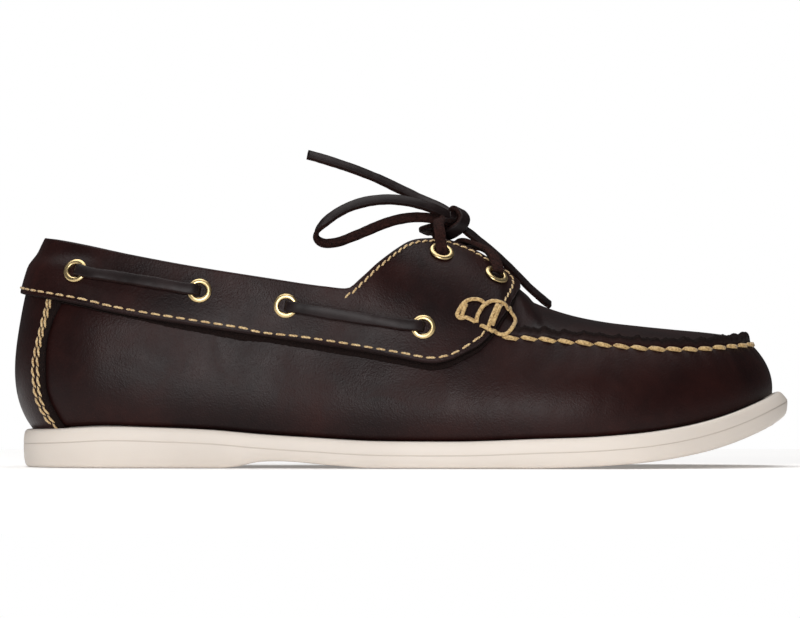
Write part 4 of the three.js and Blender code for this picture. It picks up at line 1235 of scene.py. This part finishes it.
# eyelets
eyeletProfile = [  # radius, height over the leather, then down through it to the inner collar
    (2.7, 0.2), (2.78, 0.7), (3.0, 1.0), (3.35, 1.12), (3.9, 1.08), (4.4, 0.92), (4.72, 0.62),
    (4.78, 0.3), (4.6, 0.08), (3.2, 0.06), (3.05, 0),
]
collarProfile = [(3.05, 0), (4.0, -0.1), (4.1, -0.45), (3.8, -0.8), (3.2, -0.9), (2.75, -0.7),
                 (2.65, -0.3)]
eyeletLook = {"sides": 48, "collarDrop": 1.3}


def makeEyelet(name, place):
    depth = place["stand"] + form["leather"] + eyeletLook["collarDrop"]
    profile = eyeletProfile + [(r, h - depth) for r, h in collarProfile]
    out = place["out"]
    side = unit(np.cross(out, [0, 0, 1]))
    up = np.cross(side, out)
    angles = np.linspace(0, 2 * math.pi, eyeletLook["sides"], endpoint=False)
    points = []
    for angle in angles:
        away = side * math.cos(angle) + up * math.sin(angle)
        for radius, height in profile:
            points.append(place["middle"] + away * radius + out * (place["stand"] + height))
    faces = gridFaces(len(angles), len(profile), closeAlong=True, closeAcross=True)
    return makePiece(name, points, faces, [brass])


for side in ("outer", "inner"):
    for i, (x, z) in enumerate(sideEyelets, 1):
        node = f"eyelet_{side}_{i}"
        settle(makeEyelet(node, sidePlace(x, z, side)), "eyelet_brass", node)
    for i, x in enumerate(tabEyelets, 1):
        node = f"eyelet_{side}_tab_{i}"
        settle(makeEyelet(node, tabPlace(x, side)), "eyelet_brass", node)
print("eyelets made")


# stitching
def newTree(name, *numbers):  # a node tree with a line and some numbers for inputs
    tree = bpy.data.node_groups.new(name, "GeometryNodeTree")
    tree.interface.new_socket("Geometry", in_out="INPUT", socket_type="NodeSocketGeometry")
    sockets = {label: tree.interface.new_socket(label, in_out="INPUT",
                                                socket_type="NodeSocketFloat")
               for label in numbers}
    tree.interface.new_socket("Geometry", in_out="OUTPUT", socket_type="NodeSocketGeometry")
    return tree, sockets, addNode(tree, "NodeGroupInput").outputs


def named(tree, attribute, kind):
    return addNode(tree, "GeometryNodeInputNamedAttribute",
                   {"data_type": kind, "Name": attribute}).outputs["Attribute"]


def setAlong(tree, given, shape, turned, size, material):  # repeats a shape along the line
    line = addNode(tree, "GeometryNodeMeshToCurve", links={"Mesh": given["Geometry"]})
    evenly = addNode(tree, "GeometryNodeResampleCurve", {"mode": "LENGTH"},
                     {"Curve": line.outputs[0], "Length": given["pitch"]})
    placed = addNode(tree, "GeometryNodeInstanceOnPoints", links={
        "Points": evenly.outputs[0], "Instance": shape.outputs[0],
        "Rotation": turned.outputs[0], "Scale": size})
    real = addNode(tree, "GeometryNodeRealizeInstances", links={"Geometry": placed.outputs[0]})
    coloured = addNode(tree, "GeometryNodeSetMaterial", {"Material": material},
                       {"Geometry": real.outputs[0]})
    addNode(tree, "NodeGroupOutput", links={"Geometry": coloured.outputs[0]})


# one stitch is a bowed, twisted thread that stands out from the face and dips in at its ends
def stitchTree(name, look, material):
    tree, sockets, given = newTree(name, "pitch", "slant")
    long, thick = look["long"] / 1000, look["thick"] / 1000
    path = addNode(tree, "GeometryNodeCurveQuadraticBezier", {
        "Resolution": look["steps"], "Start": (-long / 2, 0, -look["sink"] / 1000),
        "Middle": (0, 0, look["rise"] / 1000),
        "End": (long / 2, 0, -look["sink"] / 1000)})
    factor = addNode(tree, "GeometryNodeSplineParameter").outputs["Factor"]
    twist = sums(tree, "MULTIPLY", factor, float(look["twist"]))
    tilted = addNode(tree, "GeometryNodeSetCurveTilt",
                     links={"Curve": path.outputs[0], "Tilt": twist})
    strand = addNode(tree, "GeometryNodeCurveStar", {
        "Points": 4, "Inner Radius": thick * 0.42, "Outer Radius": thick * 0.56})
    solid = addNode(tree, "GeometryNodeCurveToMesh", {"Fill Caps": True},
                    {"Curve": tilted.outputs[0], "Profile Curve": strand.outputs[0]})
    turned = addNode(tree, "ShaderNodeCombineXYZ", links={"Z": given["slant"]})
    flat = addNode(tree, "GeometryNodeTransform", {"Scale": (1, 1, look["flat"])},
                   {"Geometry": solid.outputs[0], "Rotation": turned.outputs[0]})
    facing = addNode(tree, "FunctionNodeAxesToRotation",
                     {"primary_axis": "Z", "secondary_axis": "X"},
                     {"Primary Axis": named(tree, "out", "FLOAT_VECTOR"),
                      "Secondary Axis": addNode(tree, "GeometryNodeInputTangent").outputs[0]})
    chance = addNode(tree, "FunctionNodeRandomValue", {"data_type": "FLOAT", "Seed": 4})
    chance.inputs[2].default_value, chance.inputs[3].default_value = 0.93, 1.06
    smooth = addNode(tree, "GeometryNodeSetShadeSmooth", links={"Geometry": flat.outputs[0]})
    setAlong(tree, given, smooth, facing, chance.outputs[1], material)
    return tree, sockets


def growAlong(name, points, out, tree, sockets, extra=None, **values):
    mesh = bpy.data.meshes.new(name + "_line")
    count = len(points)
    mesh.from_pydata(toScene(points), [(i, i + 1) for i in range(count - 1)], [])
    facing = mesh.attributes.new("out", "FLOAT_VECTOR", "POINT")
    facing.data.foreach_set("vector", np.ravel(out).astype(np.float32))
    for key, value in (extra or {}).items():
        mesh.attributes.new(key, "FLOAT", "POINT").data.foreach_set(
            "value", np.asarray(value, np.float32))
    guide = bpy.data.objects.new(name + "_line", mesh)
    scene.collection.objects.link(guide)
    modifier = guide.modifiers.new("row", "NODES")
    modifier.node_group = tree
    for key, value in values.items():
        modifier[sockets[key].identifier] = value
    bpy.context.view_layer.update()
    reach = bpy.context.evaluated_depsgraph_get()
    grown = bpy.data.meshes.new_from_object(guide.evaluated_get(reach))
    guide.modifiers.remove(modifier)
    bpy.data.objects.remove(guide)
    piece = bpy.data.objects.new(name, grown)
    scene.collection.objects.link(piece)
    return piece


smallStitch = {"long": 3.9, "thick": 0.88, "sink": 0.6, "rise": 1.1, "twist": 5.0, "steps": 5,
               "flat": 0.8}
seamStitch = {"long": 6.1, "thick": 1.85, "sink": 1.5, "rise": 2.5, "twist": 1.2, "steps": 7,
              "flat": 0.8}
bandRow = {"grown": stitchTree("band_stitches", smallStitch, thread), "pitch": 0.0049,
           "slant": 0.0, "slot": "band_leather"}
tabRow = {"grown": stitchTree("tab_stitches", {**smallStitch, "long": 3.0, "thick": 0.8}, thread),
          "pitch": 0.0032, "slant": 0.22, "slot": "band_leather"}
counterRow = {"grown": stitchTree("counter_stitches", {**smallStitch, "thick": 1.1}, thread),
              "pitch": 0.0038, "slant": 0.3, "slot": "vamp_leather"}
seamRow = {"grown": stitchTree("moccasin_stitches", seamStitch, heavyThread),
           "pitch": upperLook["stitchPitch"] / 1000, "slant": -0.12, "slot": "vamp_leather"}


def drawRow(name, points, out, row, sign=1):
    piece = growAlong(name, points, out, *row["grown"], pitch=row["pitch"],
                      slant=row["slant"] * sign)
    settle(piece, row["slot"])


def drawOver(name, turns, levels, height, row, sign=1):
    points = offsetPoint(turns, levels, height)
    drawRow(name, points, faceNormal(turns, levels), row, sign)


def bothWays(turns, values):  # a line from the heel forward, carried round to the inner side
    return (np.concatenate([-turns[:0:-1], turns]), np.concatenate([values[:0:-1], values]))


# the row along the band runs round the heel; at each front corner it turns back along the top
frontRow = [(178.6, 51.8), (181.4, 54.6), (184.4, 59.9), (186.8, 64.2), (188.9, 67.6),
            (190.3, 70.6), (190.2, 73.2), (188.4, 75.6)]
half = evenTurns(0, float(turnAtLength(np.array(176.0), bandLevel)), 1.0, 1.5)
lowRow = bandLevel(half)
lowRow = lowRow + (2.2 + 1.2 * ramp(lengthAt(half), 168, 176)) / levelLength(half, lowRow)
turns, levels = bothWays(half, lowRow)
drawOver("band_stitches", turns, levels, bandHeight(turns, levels) + 0.1, bandRow)
frontTurn, frontLevel = seenPlaces([row[:2] for row in spacedLine(
    [(x, z, 0.0) for x, z in frontRow], 0.6)], bandHeight)
back = evenTurns(float(turnAtLength(np.array(186.5), lambda t: 2.0)), float(turnAt(126.5)), 1.0,
                 1.9)
turns = np.concatenate([frontTurn, back])
levels = np.concatenate([frontLevel, 2 - 2.3 / levelLength(back, 1.95)])
for side, sign in (("outer", 1), ("inner", -1)):
    drawOver(f"tab_stitches_{side}", turns * sign, levels, bandHeight(turns, levels) + 0.1,
             tabRow, sign)

counterRows = [
    [(10.1, 63.6), (5.0, 42.7), (4.85, 34.1), (6.2, 25.6), (10.1, 18.2)],
    [(11.3, 63.6), (7.0, 45.4), (6.6, 36.9), (8.0, 25.6), (13.6, 15.5)],
]
counterHeight = form["counterLeather"] + form["gap"]
for i, row in enumerate(counterRows, 1):
    line = spacedLine([(x, z, 0.0) for x, z in row], 0.8)
    turns, levels = seenPlaces(line[:, :2], lambda turn, level: counterHeight)
    for side, sign in (("outer", 1), ("inner", -1)):
        drawOver(f"counter_stitches_{side}_{i}", turns * sign, levels, counterHeight + 0.1,
                 counterRow, sign)

seamStart = float(turnAtLength(np.array(189.0), lambda t: 1.0))
turns = evenTurns(seamStart, 2 - seamStart, 0.6, 1.0)
facing = unit(outward(turns) + 0.35 * faceNormal(turns, 0.97))
drawRow("moccasin_stitches", facePoint(turns, 0.99, 0) + facing * 0.15, facing, seamRow)
print("stitches made")


# the figure of eight in heavy thread over the band's front corner
cordLook = {"wide": 1.6, "thick": 1.0, "plies": 3, "lay": 5.0, "ply": 0.05, "stand": 0.35,
            "spacing": 0.3, "dip": 0.9, "dipRun": 0.4}
eightLines = [  # x, z and how far each crosses over the others
    [(179.7, 63.2, 0), (177, 64.7, 0.2), (173.8, 64.8, 0), (171.4, 63.6, 0), (169.5, 61, 0),
     (168.7, 58.9, 0), (169.9, 57.7, 0), (172.2, 57.9, 0), (175.6, 56.4, 0)],
    [(172.2, 63.2, 0.3), (171.3, 61, 0.3), (170.5, 58.6, 0.3)],
    [(180.4, 63.4, 0.3), (178.6, 62, 0.5), (177.3, 60.1, 0.3), (176.4, 58.2, 0.2),
     (176.2, 56.2, 0)],
    [(179.5, 63.3, 0), (182.8, 64, 0.5), (186.7, 62.9, 0.3), (189.2, 59.8, 0.3),
     (190.9, 57, 0.3), (190.1, 54.3, 0.3), (187.9, 51.7, 0.3), (185.3, 51.3, 0.3),
     (182, 52.7, 0.5), (177.7, 55.1, 0)],
    [(184.3, 62.9, 0.9), (182.4, 58.7, 0.7), (180.8, 54.3, 0.9)],
    [(185.4, 62.5, 0.7), (183.8, 58.9, 0.5), (182.3, 55.1, 0.7)],
]


def coveredHeight(turn, level):  # the height of what lies there: the band, or the lip below it
    onBand = ramp((level - bandLevel(turn)) * levelLength(turn, level), -0.8, 0.4)
    onBand = onBand * (1 - ramp(facePoint(turn, level, 0)[..., 0], 190.6, 191.8))
    raised = facePoint(turn, level, 1.0) - facePoint(turn, level, 0)
    lip = (raised * faceNormal(turn, level)).sum(-1)
    return np.maximum(onBand * bandHeight(turn, level), lip)


def makeEight(side, sign):
    points, faces = [], []
    angles = np.linspace(0, 2 * math.pi, 12, endpoint=False)
    rows = len(angles)
    for k, line in enumerate(eightLines):
        route = spacedLine(line, cordLook["spacing"])
        turn, level = seenPlaces(route[:, :2], coveredHeight)
        turn = turn * sign
        out = faceNormal(turn, level)
        count = len(route)
        run = np.arange(count) * cordLook["spacing"]
        height = coveredHeight(turn % 2, level)
        kernel = np.ones(9) / 9
        height = np.convolve(np.pad(height, 4, mode="edge"), kernel, mode="valid")
        dip = cordLook["dip"] * np.exp(-np.minimum(run, run[::-1]) / cordLook["dipRun"])
        height = height + cordLook["stand"] + route[:, 2] - dip
        middle = facePoint(turn, level, 0) + out * height[:, None]
        ahead = unit(np.gradient(middle, axis=0))
        across = unit(np.cross(out, ahead))
        up = np.cross(ahead, across)
        start = len(points)
        for i in range(count):
            lay = angles - run[i] * 2 * math.pi / cordLook["lay"] + k
            radius = 1 + cordLook["ply"] * (abs(np.cos(cordLook["plies"] * lay / 2)) - 0.6) * 2
            loop = (middle[i] + np.outer(np.cos(angles) * radius, across[i]) * cordLook["wide"] / 2
                    + np.outer(np.sin(angles) * radius, up[i]) * cordLook["thick"] / 2)
            points.extend(loop)
        faces += list(gridFaces(count, rows, start, closeAcross=True)[:, ::-1])
        faces += loopCap(start, rows, False) + loopCap(start + (count - 1) * rows, rows, True)
    return makePiece(f"figure_of_eight_{side}", points, faces, [heavyThread])


for side, sign in (("outer", 1), ("inner", -1)):
    settle(makeEight(side, sign), "vamp_leather")
print("figures of eight made")


# fine wavy tread, each rib one curve set across the sole
treadLook = {"pitch": 3.1, "rib": 2.3, "deep": 0.55, "wave": 0.8, "waves": 5, "inset": 3.4}


def treadTree():
    tree, sockets, given = newTree("wavy_tread", "pitch")
    across = addNode(tree, "GeometryNodeCurvePrimitiveLine",
                     {"Start": (0, -1, 0), "End": (0, 1, 0)})
    fine = addNode(tree, "GeometryNodeResampleCurve", {"mode": "COUNT", "Count": 21},
                   {"Curve": across.outputs[0]})
    factor = addNode(tree, "GeometryNodeSplineParameter").outputs["Factor"]
    angle = sums(tree, "MULTIPLY", factor, 2 * math.pi * treadLook["waves"])
    wave = sums(tree, "MULTIPLY", sums(tree, "SINE", angle, 0.0), treadLook["wave"] / 1000)
    waved = addNode(tree, "GeometryNodeSetPosition", links={
        "Geometry": fine.outputs[0],
        "Offset": addNode(tree, "ShaderNodeCombineXYZ", links={"X": wave}).outputs[0]})
    profile = addNode(tree, "GeometryNodeCurvePrimitiveQuadrilateral",
                      {"Width": treadLook["rib"] / 1000, "Height": treadLook["deep"] / 1000})
    rib = addNode(tree, "GeometryNodeCurveToMesh", {"Fill Caps": True},
                  {"Curve": waved.outputs[0], "Profile Curve": profile.outputs[0]})
    size = addNode(tree, "ShaderNodeCombineXYZ", {"X": 1.0, "Z": 1.0},
                   {"Y": named(tree, "wide", "FLOAT")})
    turned = addNode(tree, "FunctionNodeAxesToRotation",
                     {"primary_axis": "Z", "secondary_axis": "X", "Secondary Axis": (1, 0, 0)},
                     {"Primary Axis": named(tree, "out", "FLOAT_VECTOR")})
    setAlong(tree, given, rib, turned, size.outputs[0], rubber)
    return tree, sockets


def makeTread():
    x = np.linspace(9, 290, 282)
    turn = turnAt(x)
    outer, inner = outlineY(turn), outlineY(2 - turn)
    points = stack(x, (outer + inner) / 2, treadZ(x) + treadLook["deep"] / 2 + 0.02)
    slope = np.gradient(treadZ(x), x)
    wide = ((inner - outer) / 2 - treadLook["inset"]) / 1000
    tree, sockets = treadTree()
    return growAlong("wavy_tread", points, unit(stack(-slope, 0, 1)), tree, sockets,
                     extra={"wide": wide}, pitch=treadLook["pitch"] / 1000)


settle(makeTread(), "sole_rubber")
print("tread made")
